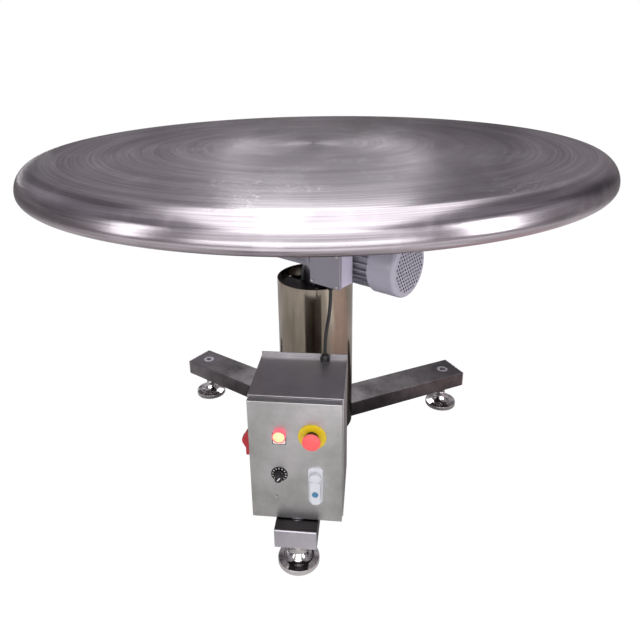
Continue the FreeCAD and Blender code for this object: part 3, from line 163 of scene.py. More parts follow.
def node(tree: Tree, kind: str, links: dict | None = None, stops: Stops = (), **values: object) -> Node:
    """Adds a node.

    Args:
        tree: the node tree that gets it.
        kind: the node's type without the ShaderNode prefix.
        links: input name or number to what feeds it.
        stops: (place, hex colour) stops, where it is a colour ramp.
        values: attributes of the node.

    Returns:
        The new node.
    """
    item = tree.nodes.new(f"ShaderNode{kind}")
    for key, value in values.items():
        setattr(item, key, value)
    feed(tree, item, links or {})
    if stops:
        elements = item.color_ramp.elements
        while len(elements) < len(stops):
            elements.new(0.5)
        for element, (place, colour) in zip(elements, stops):
            element.position = place
            element.color = linear(colour)
    return item


def new_material(name: str) -> tuple[bpy.types.Material, Tree, Node, Socket]:
    """Starts a material.

    Args:
        name: the finish's name.

    Returns:
        The material, its node tree, its shader and its object coordinates.
    """
    material = bpy.data.materials.new(name)
    material.use_nodes = True
    tree = material.node_tree
    shader = tree.nodes["Principled BSDF"]
    return material, tree, shader, node(tree, "TexCoord").outputs["Object"]


def ring_place(tree: Tree, at: Socket) -> Node:
    """Coordinates for turning marks, without a seam.

    The first runs outward from the upright axis, as the distance from it less the height, and the
    other two go slowly round it, as a small share of the direction's cosine and sine.

    Args:
        tree: the material's node tree.
        at: the object coordinates, in metres.

    Returns:
        The node that gives the coordinates.
    """
    slow = 0.006
    split = node(tree, "SeparateXYZ", {0: at})
    flat = node(tree, "CombineXYZ", {0: split.outputs[0], 1: split.outputs[1]})
    reach = node(tree, "VectorMath", {0: flat}, operation="LENGTH").outputs["Value"]
    around = node(tree, "SeparateXYZ", {0: node(tree, "VectorMath", {0: flat}, operation="NORMALIZE")})
    out = node(tree, "Math", {0: reach, 1: split.outputs[2]}, operation="SUBTRACT")
    cosine, sine = (node(tree, "Math", {0: around.outputs[index], 1: slow}, **TIMES) for index in (0, 1))
    return node(tree, "CombineXYZ", {0: out, 1: cosine, 2: sine})


def metal(kind: Metal) -> bpy.types.Material:
    """Builds a worked metal's material: fine and broad marks along its grain, and stains.

    Args:
        kind: its tones, gloss and pattern.

    Returns:
        The material.
    """
    material, tree, shader, at = new_material(kind.name)
    lay = node(tree, "Mapping", {0: at, "Scale": STRETCH[kind.grain]})
    fine = node(tree, "TexNoise", {"Vector": lay, "Scale": kind.fine, "Detail": 4.0, **RAGGED})
    broad = node(tree, "TexNoise", {"Vector": lay, "Scale": kind.fine / BROAD, "Detail": 3.0, **RAGGED})
    stain = node(tree, "TexNoise", {"Vector": at, "Scale": STAIN, "Detail": 5.0, "Roughness": 0.6})
    marks = node(tree, "Mix", {0: 0.5, 2: fine, 3: broad})
    tone = node(tree, "Mix", {0: kind.stains, 2: marks, 3: stain})
    colour = node(tree, "ValToRGB", {0: tone}, ((0.34, kind.dark), (0.66, kind.light)))
    gloss = {0: tone, 1: -2 * kind.spread, 2: kind.roughness + kind.spread}
    bump = node(tree, "Bump", {"Height": marks, "Strength": 0.6, "Distance": kind.depth})
    if kind.fold:
        feed(tree, bump, {"Normal": node(tree, "Bevel", {"Radius": kind.fold}, samples=8)})
    feed(tree, shader, {"Base Color": colour, "Roughness": node(tree, "Math", gloss, **TIMES_PLUS),
                        "Normal": bump, "Metallic": kind.metallic})
    return material


def turned_disc(kind: Metal) -> bpy.types.Material:
    """Builds the disc's steel: turning marks in rings, hazy scuffs with a painted pale sheen, and small
    bright scratches.

    Args:
        kind: its tones, gloss and pattern.

    Returns:
        The material.
    """
    material, tree, shader, at = new_material(kind.name)
    rings = ring_place(tree, at)
    fine = node(tree, "TexNoise", {"Vector": rings, "Scale": kind.fine, "Detail": 3.0, **RAGGED})
    marks = node(tree, "TexNoise", {"Vector": rings, "Scale": kind.fine / 3, "Detail": 3.0, **RAGGED})
    bands = node(tree, "TexNoise", {"Vector": rings, "Scale": kind.fine / 60, "Detail": 2.0, **RAGGED})
    tone = node(tree, "Mix", {0: 0.45, 2: marks, 3: bands})
    tone = node(tree, "Mix", {0: 0.25, 2: tone, 3: fine})

    # The edge is 0 on the flat and 1 on the rolled rim, where the tone is more even.
    reach = node(tree, "SeparateXYZ", {0: rings})
    edge = node(tree, "MapRange", {0: reach, 1: RIM_START, 2: RIM_START + RIM_BLEND}, **SMOOTH)
    even = node(tree, "Math", {0: edge, 1: 0.55}, **TIMES)
    tone = node(tree, "Mix", {0: even, 2: tone, 3: 0.56})

    # Scuffs lie slantwise, 170 mm wide, and are strongest on the rim. They dull the steel, and their pale
    # tone is a painted sheen in slanting streaks.
    slant = node(tree, "Mapping", {0: at, "Rotation": (0, 0, math.radians(-38)), "Scale": (1.0, 0.32, 1.0)})
    scuff_and_sheen = node(tree, "TexNoise", {"Vector": slant, "Scale": 6.0, "Detail": 5.0, "Roughness": 0.6})
    scuff_and_sheen = node(tree, "MapRange", {0: scuff_and_sheen, 1: 0.46, 2: 0.74}, **SMOOTH)
    weight = node(tree, "Math", {0: edge, 1: 0.70, 2: 0.22}, **TIMES_PLUS)
    scuff_and_sheen = node(tree, "Math", {0: scuff_and_sheen, 1: weight}, **TIMES)

    # Scratches are 2 mm long, stand in patches of 200 mm and stay off the rim.
    scratch = node(tree, "TexNoise", {"Vector": at, "Scale": 420.0, "Detail": 0.0, **RAGGED})
    scratch = node(tree, "MapRange", {0: scratch, 1: 0.71, 2: 0.74})
    patchy = node(tree, "TexNoise", {"Vector": at, "Scale": 5.0, "Detail": 2.0, **RAGGED})
    patchy = node(tree, "MapRange", {0: patchy, 1: 0.50, 2: 0.60})
    inside = node(tree, "Math", {0: edge, 1: -1.0, 2: 1.0}, **TIMES_PLUS)
    patchy = node(tree, "Math", {0: patchy, 1: inside}, **TIMES)
    scratch = node(tree, "Math", {0: scratch, 1: patchy}, **TIMES)

    steel = node(tree, "ValToRGB", {0: tone}, ((0.35, kind.dark), (0.50, "#a19aa0"), (0.63, kind.light)))
    # The pale tone of the scuffs is a painted highlight: slanting streaks of sheen, strongest on the rim.
    pale = node(tree, "Math", {0: scuff_and_sheen, 1: 0.60}, **TIMES)
    steel = node(tree, "Mix", {0: pale, 6: steel, 7: linear("#e4dde3")}, **RGBA).outputs[2]
    steel = node(tree, "Mix", {0: scratch, 6: steel, 7: linear("#ffffff")}, **RGBA).outputs[2]
    dull = node(tree, "Math", {0: scuff_and_sheen, 1: 0.10, 2: kind.roughness}, **TIMES_PLUS)
    worn = node(tree, "Math", {0: tone, 1: -2 * kind.spread, 2: kind.spread}, **TIMES_PLUS)
    feed(tree, shader, {
        "Base Color": steel,
        "Roughness": node(tree, "Math", {0: worn, 1: dull}),
        "Normal": node(tree, "Bump", {"Height": tone, "Strength": 0.6, "Distance": kind.depth}),
        "Metallic": kind.metallic,
        "Anisotropic": 0.50,
        "Tangent": node(tree, "Tangent", direction_type="RADIAL", axis="Z"),
    })
    return material


def moulded(kind: Moulded) -> bpy.types.Material:
    """Builds a painted or moulded material: a fine grain and soft clouds.

    Args:
        kind: its tones, gloss and pattern.

    Returns:
        The material.
    """
    swing = 0.12
    material, tree, shader, at = new_material(kind.name)
    fine = node(tree, "TexNoise", {"Vector": at, "Scale": kind.scale, "Detail": 2.0, **RAGGED})
    broad = node(tree, "TexNoise", {"Vector": at, "Scale": CLOUD, "Detail": 4.0, **RAGGED})
    tone = node(tree, "Mix", {0: 0.4, 2: broad, 3: fine})
    base = Vector(linear(kind.colour)[:3])
    dark, light = ((*(base * (1 + share)), 1) for share in (-kind.mottle, kind.mottle))
    gloss = {0: tone, 1: swing, 2: kind.roughness - swing / 2}
    feed(tree, shader, {
        "Base Color": node(tree, "Mix", {0: tone, 6: dark, 7: light}, **RGBA).outputs[2],
        "Roughness": node(tree, "Math", gloss, **TIMES_PLUS),
        "Normal": node(tree, "Bump", {"Height": fine, "Strength": 0.5, "Distance": kind.bump}),
        "Coat Weight": kind.coat,
    })
    if kind.glow:
        feed(tree, shader, {"Emission Color": linear(kind.colour), "Emission Strength": kind.glow})
    return material


STRETCH = {Grain.UPRIGHT: (1, 1, 0.02), Grain.ACROSS: (0.03, 1, 1), Grain.CLOUDY: (1, 1, 1)}
METALS = (
    # Stainless sheet, spun and worn: rings with a sheen that runs across them.
    Metal("disc_steel", "#cdc6cc", "#655f64", 0.23, Grain.RINGS, 800.0, 0.00004, 0.08, 0.25),
    # Polished stainless tube: clear reflections drawn out upright. Its tone, warmer than the disc, is a
    # painted reflection of brownish surroundings.
    Metal("column_steel", "#b0a798", "#857c6f", 0.13, Grain.UPRIGHT, 600.0, 0.00001, 0.05, 0.45),
    # Ground stainless plate: pale, cloudy and dull.
    Metal("end_steel", "#e2e0e8", "#bcb9c2", 0.30, Grain.CLOUDY, 260.0, 0.00002, 0.06, 0.5),
    # Pressed and polished stainless: bright, with near-mirror reflections.
    Metal("foot_steel", "#f0eded", "#d5d2d1", 0.12, Grain.CLOUDY, 300.0, 0.00001, 0.05, 0.4),
    # Steel darkened to near black as painted shade, for the front arm under the box and the deck under the
    # disc, with faint marks across it.
    Metal("painted_shade_steel", "#3b383a", "#1b191b", 0.34, Grain.ACROSS, 260.0, 0.00004, 0.08, 0.5),
    # Scuffed square tube: mid grey with dark clouds.
    Metal("arm_steel", "#918c8f", "#454244", 0.30, Grain.CLOUDY, 260.0, 0.00004, 0.10, 0.6),
    # Folded stainless sheet with a fine ground face: pale and even, its folds softly bright.
    Metal("box_steel", "#dbd9db", "#bcbabc", 0.38, Grain.CLOUDY, 180.0, 0.00002, 0.06, 0.6, fold=0.0022),
    # The same sheet, handled more: broad pale and greenish grey stains.
    Metal("door_steel", "#e4e3e5", "#abafa8", 0.36, Grain.CLOUDY, 180.0, 0.00002, 0.06, 0.85, fold=0.0022),
    # Plain stainless sheet, a little darker than the box.
    Metal("plate_steel", "#cfcdcf", "#9c999b", 0.30, Grain.CLOUDY, 260.0, 0.00002, 0.06, 0.6),
    # Machined steel: mid grey and hardly glossy.
    Metal("plain_steel", "#7b7980", "#56545a", 0.36, Grain.CLOUDY, 400.0, 0.00003, 0.08, 0.5),
    # Bright plated fasteners and threads: light, with sharp glints.
    Metal("bright_steel", "#d6d4d6", "#a9a6a8", 0.18, Grain.CLOUDY, 500.0, 0.00001, 0.05, 0.3),
    # Galvanised sheet: yellowish grey in large soft spangles.
    Metal("zinc", "#c8c8bf", "#9b9c98", 0.35, Grain.CLOUDY, 120.0, 0.00002, 0.08, 0.5),
    # Cast aluminium under thin paint: grainy and half matt.
    Metal("cast_aluminium", "#b9b7c2", "#8f8d98", 0.46, Grain.CLOUDY, 500.0, 0.00010, 0.08, 0.5, 0.6),
)
PLAINS = (
    # Thick enamel on a casting: grey with a fine orange-peel.
    Moulded("gear_paint", "#84818b", 0.42, 0.00008, 500.0, 0.12),
    # The same enamel on the terminal box, painted paler: painted light where the lamp on the right falls on
    # its side.
    Moulded("lit_gear_paint", "#bcb6c8", 0.40, 0.00006, 500.0, 0.08),
    # Enamel on pressed sheet: smoother, with a thin gloss.
    Moulded("cowl_paint", "#a29fad", 0.34, 0.00004, 700.0, 0.08, 0.2),
    # Black rubber: dark and dull.
    Moulded("rubber", "#17161a", 0.55),
    # Moulded nylon: black with a soft sheen.
    Moulded("black_plastic", "#121113", 0.36),
    # Moulded nylon: light grey and even.
    Moulded("grey_plastic", "#c3c4ca", 0.35, mottle=0.05),
    # Moulded ABS: off-white and even.
    Moulded("white_plastic", "#dcdad4", 0.40, mottle=0.04),
    # Glossy moulded button: light red with a clear highlight.
    Moulded("red_plastic", "#e8585a", 0.33, mottle=0.06, coat=0.3),
    # Moulded handle: deep red, less glossy.
    Moulded("red_handle", "#b3262e", 0.38, mottle=0.08, coat=0.2),
    # Red lamp housing, lit from inside: a soft glow.
    Moulded("lamp_red", "#ea4c60", 0.30, mottle=0.05, coat=0.4, glow=0.75),
    # Clear cap over a burning lamp: a pale orange glow.
    Moulded("lit_lens", "#f6c08c", 0.25, mottle=0.03, coat=0.4, glow=0.70),
    # Moulded collar: strong yellow with a slight gloss.
    Moulded("yellow_plastic", "#d2b818", 0.36, mottle=0.05, coat=0.2),
    # Glossy moulded cap: mid blue.
    Moulded("blue_plastic", "#3a7595", 0.30, mottle=0.05, coat=0.4),
    # Anodised black plate: flat and glossy.
    Moulded("print_black", "#0c0b0d", 0.26),
)
FINISH_OF = {
    "disc_steel": "turntable_disc",
    "column_steel": "column_tube",
    "end_steel": "arm_end_plates foot_bushes",
    "foot_steel": "foot_front_base foot_left_base foot_right_base",
    "plate_steel": "back_plate",
    "arm_steel": "arm_left arm_right",
    # The front arm and the deck get the painted-shade copy of the arms' steel.
    "painted_shade_steel": "arm_front column_deck",
    "door_steel": "box_door",
    "box_steel": "box_shell hinge_knuckles hinge_brackets",
    "plain_steel": "turntable_stiffeners turntable_hub spindle spindle_bearings rotor_shaft gearbox_pedestal",
    "bright_steel": "hub_bolts frame_bolts foot_front_stud foot_left_stud foot_right_stud foot_lock_nuts",
    "zinc": "inner_panel lock_cam",
    "gear_paint": "gearbox_housing bearing_housing motor_flange terminal_box_lid",
    # The terminal box gets the paler, painted-light copy of the gearbox enamel.
    "lit_gear_paint": "terminal_box",
    "cast_aluminium": "motor_stator",
    "cowl_paint": "fan_cowl",
    "rubber": "motor_cable door_seal",
    "black_plastic": "cooling_fan motor_gland roof_gland mains_gland estop_barrel potentiometer speed_knob",
    "grey_plastic": "lock_plate lock_lever lock_spindle terminal_blocks estop_stem isolator_switch",
    "white_plastic": "speed_inverter",
    "red_plastic": "estop_head",
    "red_handle": "isolator_handle",
    "lamp_red": "lamp_holder",
    "lit_lens": "lamp_lens",
    "yellow_plastic": "estop_collar",
    "blue_plastic": "lock_button",
}
EDGES = {
    "arm_front arm_left arm_right": 1.6, "arm_end_plates": 1.9, "box_door": 2.2, "box_shell": 2.0,
    "back_plate": 0.6, "gearbox_housing": 1.6, "terminal_box": 1.5, "terminal_box_lid": 2.2,
    "isolator_handle": 1.6, "lock_plate": 0.8, "lock_lever": 1.2, "estop_collar": 0.6, "fan_cowl": 0.3,
    "motor_stator": 0.5, "frame_bolts hub_bolts": 0.5, "speed_knob": 0.3, "motor_flange": 1.0,
}


@dataclass
class Studio:
    """Everything that the pieces share: the frame and the finishes."""

    frame: dict
    finishes: dict[str, bpy.types.Material] = field(default_factory=dict)

    def finish(self, name: str) -> bpy.types.Material:
        """The finish of that name."""
        return self.finishes[name]

    def add(self, name: str, verts: np.ndarray, faces: list, finish: str, body: str,
            replaces: tuple[str, ...] = (), smooth: float = 35.0) -> bpy.types.Object:
        """Adds a mesh piece, with its object at the origin.

        Args:
            name: the piece's name.
            verts: points in millimetres.
            faces: rows of point numbers.
            finish: name of its finish.
            body: the CAD body it rides on.
            replaces: CAD nodes that it stands for.
            smooth: largest angle in degrees that is shaded smooth.

        Returns:
            The new object.
        """
        mesh = bpy.data.meshes.new(name)
        mesh.from_pydata(np.asarray(verts, float) * MM, [], faces)
        mesh.validate()
        mesh.shade_smooth()
        mesh.set_sharp_from_angle(angle=math.radians(smooth))
        mesh.materials.append(self.finish(finish))
        piece = bpy.data.objects.new(name, mesh)
        bpy.context.scene.collection.objects.link(piece)
        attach(piece, body)
        if replaces:
            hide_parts(*replaces)
        return piece


def revolve(profile: Profile, count: int, shift: tuple[float, float] = (0, 0)) -> tuple[np.ndarray, list]:
    """Turns a profile about the upright axis.

    Each profile point is laid at every angle, at its radius times the angle's cosine and sine, and
    at its height. A point on the axis stays single.

    Args:
        profile: (radius, height) points. They run so that the outside lies to their right.
        count: segments round the axis.
        shift: where the axis stands.

    Returns:
        Points and faces.
    """
    angles = np.arange(count) * 2 * np.pi / count
    points, rows = [], []
    for radius, height in profile:
        start = sum(len(p) for p in points)
        turns = angles if radius > 1e-6 else angles[:1]
        points.append(np.stack([shift[0] + radius * np.cos(turns), shift[1] + radius * np.sin(turns),
                                np.full(len(turns), height)], 1))
        rows.append(start + (np.arange(count) if radius > 1e-6 else np.zeros(count, int)))
    faces = []
    for low, high in zip(rows, rows[1:]):
        low_next, high_next = np.roll(low, -1), np.roll(high, -1)
        if low[0] == low[-1]:
            faces += np.stack([low, high_next, high], 1).tolist()
        elif high[0] == high[-1]:
            faces += np.stack([low, low_next, high], 1).tolist()
        else:
            faces += np.stack([low, low_next, high_next, high], 1).tolist()
    return np.concatenate(points), faces


def arc(centre: tuple[float, float], radius: float, start: float, end: float, count: int) -> Profile:
    """Points of an arc in a profile, with its angles in degrees."""
    turns = np.radians(np.linspace(start, end, count))
    return [(centre[0] + radius * math.cos(t), centre[1] + radius * math.sin(t)) for t in turns]


def aim(verts: np.ndarray, axis: Vector, at: tuple[float, float, float]) -> np.ndarray:
    """Turns points from the upright axis onto another one, and moves them."""
    turn = np.array(Vector((0, 0, 1)).rotation_difference(axis).to_matrix())
    return verts @ turn.T + np.array(at)


def soften(item: bpy.types.Object, width: float) -> None:
    """Rounds the sharp edges of a node with modifiers, which leave its own points alone.

    Args:
        item: the node's object.
        width: how far the rounding reaches from the edge, in millimetres.
    """
    weld = item.modifiers.new("Weld", "WELD")
    weld.merge_threshold = 0.00002
    flat = item.modifiers.new("Flats", "DECIMATE")
    flat.decimate_type = "DISSOLVE"
    flat.angle_limit = math.radians(0.6)
    bevel = item.modifiers.new("Bevel", "BEVEL")
    bevel.width = width * MM
    bevel.segments = 3
    bevel.limit_method = "ANGLE"
    bevel.angle_limit = math.radians(38)
    bevel.use_clamp_overlap = True
    normals = item.modifiers.new("Normals", "WEIGHTED_NORMAL")
    normals.mode = "FACE_AREA"
    normals.weight = 80
    normals.keep_sharp = False


def dress_nodes(studio: Studio) -> None:
    """Gives each CAD node its finish, smooth shading and softened edges.

    Args:
        studio: the frame and the finishes.
    """
    for finish, names in FINISH_OF.items():
        for name in names.split():
            item = studio.frame["nodes"][name]
            item.data.materials.clear()
            item.data.materials.append(studio.finish(finish))
            item.data.shade_smooth()
            item.data.set_sharp_from_angle(angle=math.radians(28))
    for names, width in EDGES.items():
        for name in names.split():
            soften(studio.frame["nodes"][name], width)


@dataclass
class Turntable:
    """The spun disc with its rolled edge."""

    radius: float = 700.0
    top: float = 894.0
    edge: float = 48.0
    curl: float = 18.0
    sheet: float = 3.0

    def build(self, studio: Studio) -> None:
        """Turns the disc as one smooth sheet: a flat, a quarter circle and a small curl under it.

        Args:
            studio: where the piece goes.
        """
        flat = self.radius - self.edge
        level = self.top - self.edge
        lip = (self.radius - self.curl, level)
        inner = [(r, self.top - self.sheet) for r in (0.0, *np.linspace(60, flat, 16))]
        inner += arc((flat, level), self.edge - self.sheet, 90, 0, 12)[1:]
        inner += arc(lip, self.curl - self.sheet, 0, -80, 8)[1:]
        outer = arc(lip, self.curl, -80, 0, 8)
        outer += arc((flat, level), self.edge, 0, 90, 16)[1:]
        outer += [(r, self.top) for r in (*np.linspace(flat, 60, 16)[1:], 0.0)]
        verts, faces = revolve(inner + outer, 288)
        studio.add("disc_sheet", verts, faces, "disc_steel", "turntable", ("turntable_disc",))


@dataclass
class Column:
    """The polished column tube."""

    radius: float = 104.0
    sheet: float = 3.0
    foot: float = 81.0
    top: float = 533.0

    def build(self, studio: Studio) -> None:
        """Turns the tube with an eased upper rim.

        Args:
            studio: where the piece goes.
        """
        ease = 0.8
        inside = self.radius - self.sheet
        profile = [(inside, self.top - ease), (inside, self.foot), (self.radius, self.foot),
                   (self.radius, self.top - ease), (self.radius - ease, self.top),
                   (inside + ease, self.top), (inside, self.top - ease)]
        verts, faces = revolve(profile, 160)
        studio.add("column_sheet", verts, faces, "column_steel", "frame", ("column_tube",))


@dataclass
class Foot:
    """A levelling foot's bell."""

    side: str
    angle: float
    reach: float = 452.0
    neck: float = 13.0
    shoulder: tuple[float, float] = (35.0, 15.4)
    top: float = 46.0

    def build(self, studio: Studio) -> None:
        """Turns the bell with its rim, ring and neck.

        Above the ring the radius shrinks with the angle's sine, and the height grows with one less
        its cosine.

        Args:
            studio: where the piece goes.
        """
        turn = math.radians(self.angle)
        spot = (self.reach * math.sin(turn), -self.reach * math.cos(turn))
        wide, low = self.shoulder
        high = self.top - 6.0
        profile = [(0, 0), (46.5, 0), (47.6, 0.5), (48, 1.5), (48, 10.5), (47.4, 12.2), (46, 13),
                   (36.5, 14.6), self.shoulder]
        profile += [(wide - (wide - self.neck) * math.sin(t), low + (high - low) * (1 - math.cos(t)) ** 0.9)
                    for t in np.linspace(0.04, math.pi / 2, 14)]
        profile += [(self.neck, self.top - 1), (self.neck - 0.6, self.top), (0, self.top)]
        verts, faces = revolve(profile, 96, spot)
        studio.add(f"foot_{self.side}_bell", verts, faces, "foot_steel", f"foot_{self.side}",
                   (f"foot_{self.side}_base",))


@dataclass
class Cable:
    """The lead between the motor and the control box."""

    radius: float = 4.0
    along: float = 182.0
    front: float = -169.0
    level: float = 598.0
    end: tuple[float, float, float] = (50.0, -285.0, 444.0)
    falls: tuple[float, float] = (52.0, 46.0)

    def build(self, studio: Studio) -> None:
        """Lays the lead on the source's route.

        Args:
            studio: where the piece goes.
        """
        cosine, sine = math.cos(MOTOR_ANGLE), math.sin(MOTOR_ANGLE)
        start = Vector((self.along * cosine + self.front * sine, -self.along * sine + self.front * cosine,
                        self.level))
        end = Vector(self.end)
        points = [start, start - Vector((0, 0, self.falls[0])), end + Vector((0, 0, self.falls[1])), end]
        curve = bpy.data.curves.new("motor_lead", "CURVE")
        curve.dimensions = "3D"
        spline = curve.splines.new("NURBS")
        spline.points.add(len(points) - 1)
        for spot, point in zip(spline.points, points):
            spot.co = (*(point * MM), 1.0)
        spline.order_u = 3
        spline.use_endpoint_u = True
        spline.resolution_u = 24
        curve.bevel_depth = self.radius * MM
        curve.bevel_resolution = 6
        curve.use_fill_caps = True
        curve.materials.append(studio.finish("rubber"))
        piece = bpy.data.objects.new("motor_lead", curve)
        bpy.context.scene.collection.objects.link(piece)
        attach(piece, "frame")
        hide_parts("motor_cable")


def plate(width: float, height: float, thick: float, corner: float) -> tuple[np.ndarray, list]:
    """Makes a flat plate with round corners that faces -Y and stands on its back face.

    Each ring is four quarter circles, joined by straight sides. The rings lie at set depths, and the
    front ones are smaller, which eases the edge.

    Args:
        width: its width.
        height: its height.
        thick: its thickness.
        corner: radius of its corners.

    Returns:
        Points centred on the back face, and faces.
    """
    steps = 5
    ease = min(0.25, thick / 3)
    layers = [(0.0, 0.0), (ease - thick, 0.0), (-thick, ease), (-thick, 2 * ease)]
    verts = []
    for depth, inset in layers:
        radius = max(corner - inset, 0.3)
        spots = []
        for quarter, (sx, sz) in enumerate(((1, 1), (-1, 1), (-1, -1), (1, -1))):
            centre = (sx * (width / 2 - inset - radius), sz * (height / 2 - inset - radius))
            spots += arc(centre, radius, 90 * quarter, 90 * quarter + 90, steps)
        ring = np.array(spots)
        verts.append(np.column_stack([ring[:, 0], np.full(len(ring), depth), ring[:, 1]]))
    index = np.arange(4 * steps)
    faces = [index[::-1].tolist()]
    for layer in range(len(layers) - 1):
        low = index + layer * len(index)
        high = low + len(index)
        faces += np.stack([np.roll(low, -1), np.roll(high, -1), high, low], 1).tolist()
    faces.append((index + (len(layers) - 1) * len(index)).tolist())
    return np.concatenate(verts), faces


@dataclass
class DoorFittings:
    """Bare signs on the door: the legend plate, the dial plate with its marks and the knob's pointer."""

    lamp: tuple[float, float] = (-33.0, 351.0)
    legend_shift: tuple[float, float] = (-0.5, -9.0)
    dial: tuple[float, float] = (-36.0, 250.0)
    knob_radius: float = 8.0
    knob_out: float = 20.0
    # The pointer's turn lays the pale mark where a reflection falls on the knob: partly a painted reflection.
    pointer: float = math.radians(40)
    dial_radius: float = 18.5
    dial_bore: float = 5.2
    dial_thick: float = 1.1
    mark_middle: float = 14.6
    mark_count: int = 11
    mark_sweep: float = 135.0

    def build(self, studio: Studio) -> None:
        """Adds the plates, the dial's marks and the pointer.

        Args:
            studio: where the piece goes.
        """
        self.legend(studio)
        self.scale(studio)
        self.knob_mark(studio)

    def legend(self, studio: Studio) -> None:
        """Lays the white plate under the lamp, inside its black border.

        Args:
            studio: where the piece goes.
        """
        spot = np.array([self.lamp[0] + self.legend_shift[0], FRONT, self.lamp[1] + self.legend_shift[1]])
        for name, size, thick, finish in (("legend_border", 30.0, 0.8, "print_black"),
                                          ("legend_face", 27.0, 1.0, "white_plastic")):
            verts, faces = plate(size, size, thick, 3.0)
            studio.add(name, verts + spot, faces, finish, "door")

    def scale(self, studio: Studio) -> None:
        """Lays the round black dial plate, with white marks round its edge.

        Args:
            studio: where the piece goes.
        """
        top, bore, edge = self.dial_thick, self.dial_bore, self.dial_radius
        profile = [(bore, top), (bore, 0), (edge, 0), (edge, top - 0.3), (edge - 0.3, top), (bore, top)]
        verts, faces = revolve(profile, 72)
        verts = aim(verts, Vector((0, -1, 0)), (self.dial[0], FRONT, self.dial[1]))
        studio.add("dial_plate", verts, faces, "print_black", "door")
        points, rows = [], []
        mark, sides = plate(1.1, 4.0, 0.15, 0.2)
        mark = mark + np.array([0.0, 0.0, self.mark_middle])
        for turn in np.radians(np.linspace(-self.mark_sweep, self.mark_sweep, self.mark_count)):
            rows += [[len(points) * len(mark) + number for number in side] for side in sides]
            points.append(mark @ np.array(Matrix.Rotation(turn, 3, "Y")).T)
        verts = np.concatenate(points) + np.array([self.dial[0], FRONT - top, self.dial[1]])
        studio.add("dial_marks", verts, rows, "white_plastic", "door")

    def knob_mark(self, studio: Studio) -> None:
        """Lays the pale pointer on the knob's face, sunk a little into it. It is turned to lie where a
        reflection falls on the knob's side: a real pointer that also stands for a painted reflection.

        Args:
            studio: where the piece goes.
        """
        length, sunk = 10.0, 0.3
        verts, faces = plate(2.6, length, 0.6, 0.8)
        verts = verts + np.array([0.0, 0.0, self.knob_radius - length / 2 - 1.2])
        turn = np.array(Matrix.Rotation(self.pointer, 3, "Y"))
        verts = verts @ turn.T + np.array([self.dial[0], FRONT - self.knob_out + sunk, self.dial[1]])
        studio.add("knob_pointer", verts, faces, "grey_plastic", "knob")


def set_camera() -> None:
    """Sets the camera at the photograph's viewpoint."""
    right = Vector((0.9931889, 0.11502426, -0.01858052))
    up = Vector((-0.0211469, 0.33477169, 0.94206195))
    ahead = Vector((-0.11458021, 0.93525255, -0.33492393))
    data = bpy.data.cameras.new("camera")
    focal, centre = 581.8628, (303.5175, 258.7190)
    data.sensor_width = SENSOR
    data.lens = focal / PICTURE * SENSOR
    data.shift_x = (PICTURE / 2 - centre[0]) / PICTURE
    data.shift_y = -(PICTURE / 2 - centre[1]) / PICTURE
    data.clip_start = 0.05
    camera = bpy.data.objects.new("camera", data)
    turn = Matrix((right, up, -ahead)).transposed().to_4x4()
    camera.matrix_world = Matrix.Translation(Vector((151.145, -1485.18, 1113.20)) * MM) @ turn
    bpy.context.scene.collection.objects.link(camera)
    bpy.context.scene.camera = camera


# The room's tones from straight below to straight above, which only reflections and soft light see.
ROOM = ((0.0, "#8c8682"), (0.47, "#7b7673"), (0.53, "#8b8689"), (0.57, "#757074"),
        (0.58, "#6c686e"), (0.66, "#9a969c"), (0.85, "#938f95"), (1.0, "#b4b0b6"))


def set_world() -> None:
    """A white backdrop for the eye, and a dim room with soft streaks for the reflections."""
    world = bpy.data.worlds.new("studio")
    bpy.context.scene.world = world
    world.use_nodes = True
    tree = world.node_tree
    tree.nodes.clear()
    at = node(tree, "TexCoord").outputs["Generated"]
    rise = node(tree, "SeparateXYZ", {0: at}).outputs[2]
    height = node(tree, "Math", {0: rise, 1: 0.5, 2: 0.5}, **TIMES_PLUS)
    room = node(tree, "ValToRGB", {0: height}, ROOM)
    upright = node(tree, "Mapping", {0: at, "Scale": (1.0, 1.0, 0.35)})
    streak = node(tree, "TexNoise", {"Vector": upright, "Scale": 3.4, "Detail": 3.0, "Roughness": 0.6})
    streak = node(tree, "ValToRGB", {0: streak}, ((0.36, "#5f5b5d"), (0.62, "#ffffff")))
    tint = node(tree, "Mix", {0: 1.0, 6: room, 7: streak}, blend_type="MULTIPLY", **RGBA).outputs[2]
    around = node(tree, "Background", {0: tint, 1: 1.25})
    plain = node(tree, "Background", {0: (1, 1, 1, 1), 1: 1.0})
    seen = node(tree, "LightPath").outputs["Is Camera Ray"]
    mix = node(tree, "MixShader", {0: seen, 1: around, 2: plain})
    node(tree, "OutputWorld", {0: mix})


@dataclass(frozen=True)
class Softbox:
    """A flat lamp: where it hangs, where it looks, its size and the brightness of its face."""

    name: str
    at: tuple[float, float, float]
    to: tuple[float, float, float]
    size: tuple[float, float]
    bright: float

    def hang(self) -> None:
        """Adds the lamp."""
        data = bpy.data.lights.new(self.name, "AREA")
        data.shape = "RECTANGLE"
        data.size, data.size_y = self.size
        data.energy = self.bright * math.pi * self.size[0] * self.size[1]
        lamp = bpy.data.objects.new(self.name, data)
        lamp.location = self.at
        lamp.rotation_euler = (Vector(self.to) - Vector(self.at)).to_track_quat("-Z", "Y").to_euler()
        bpy.context.scene.collection.objects.link(lamp)


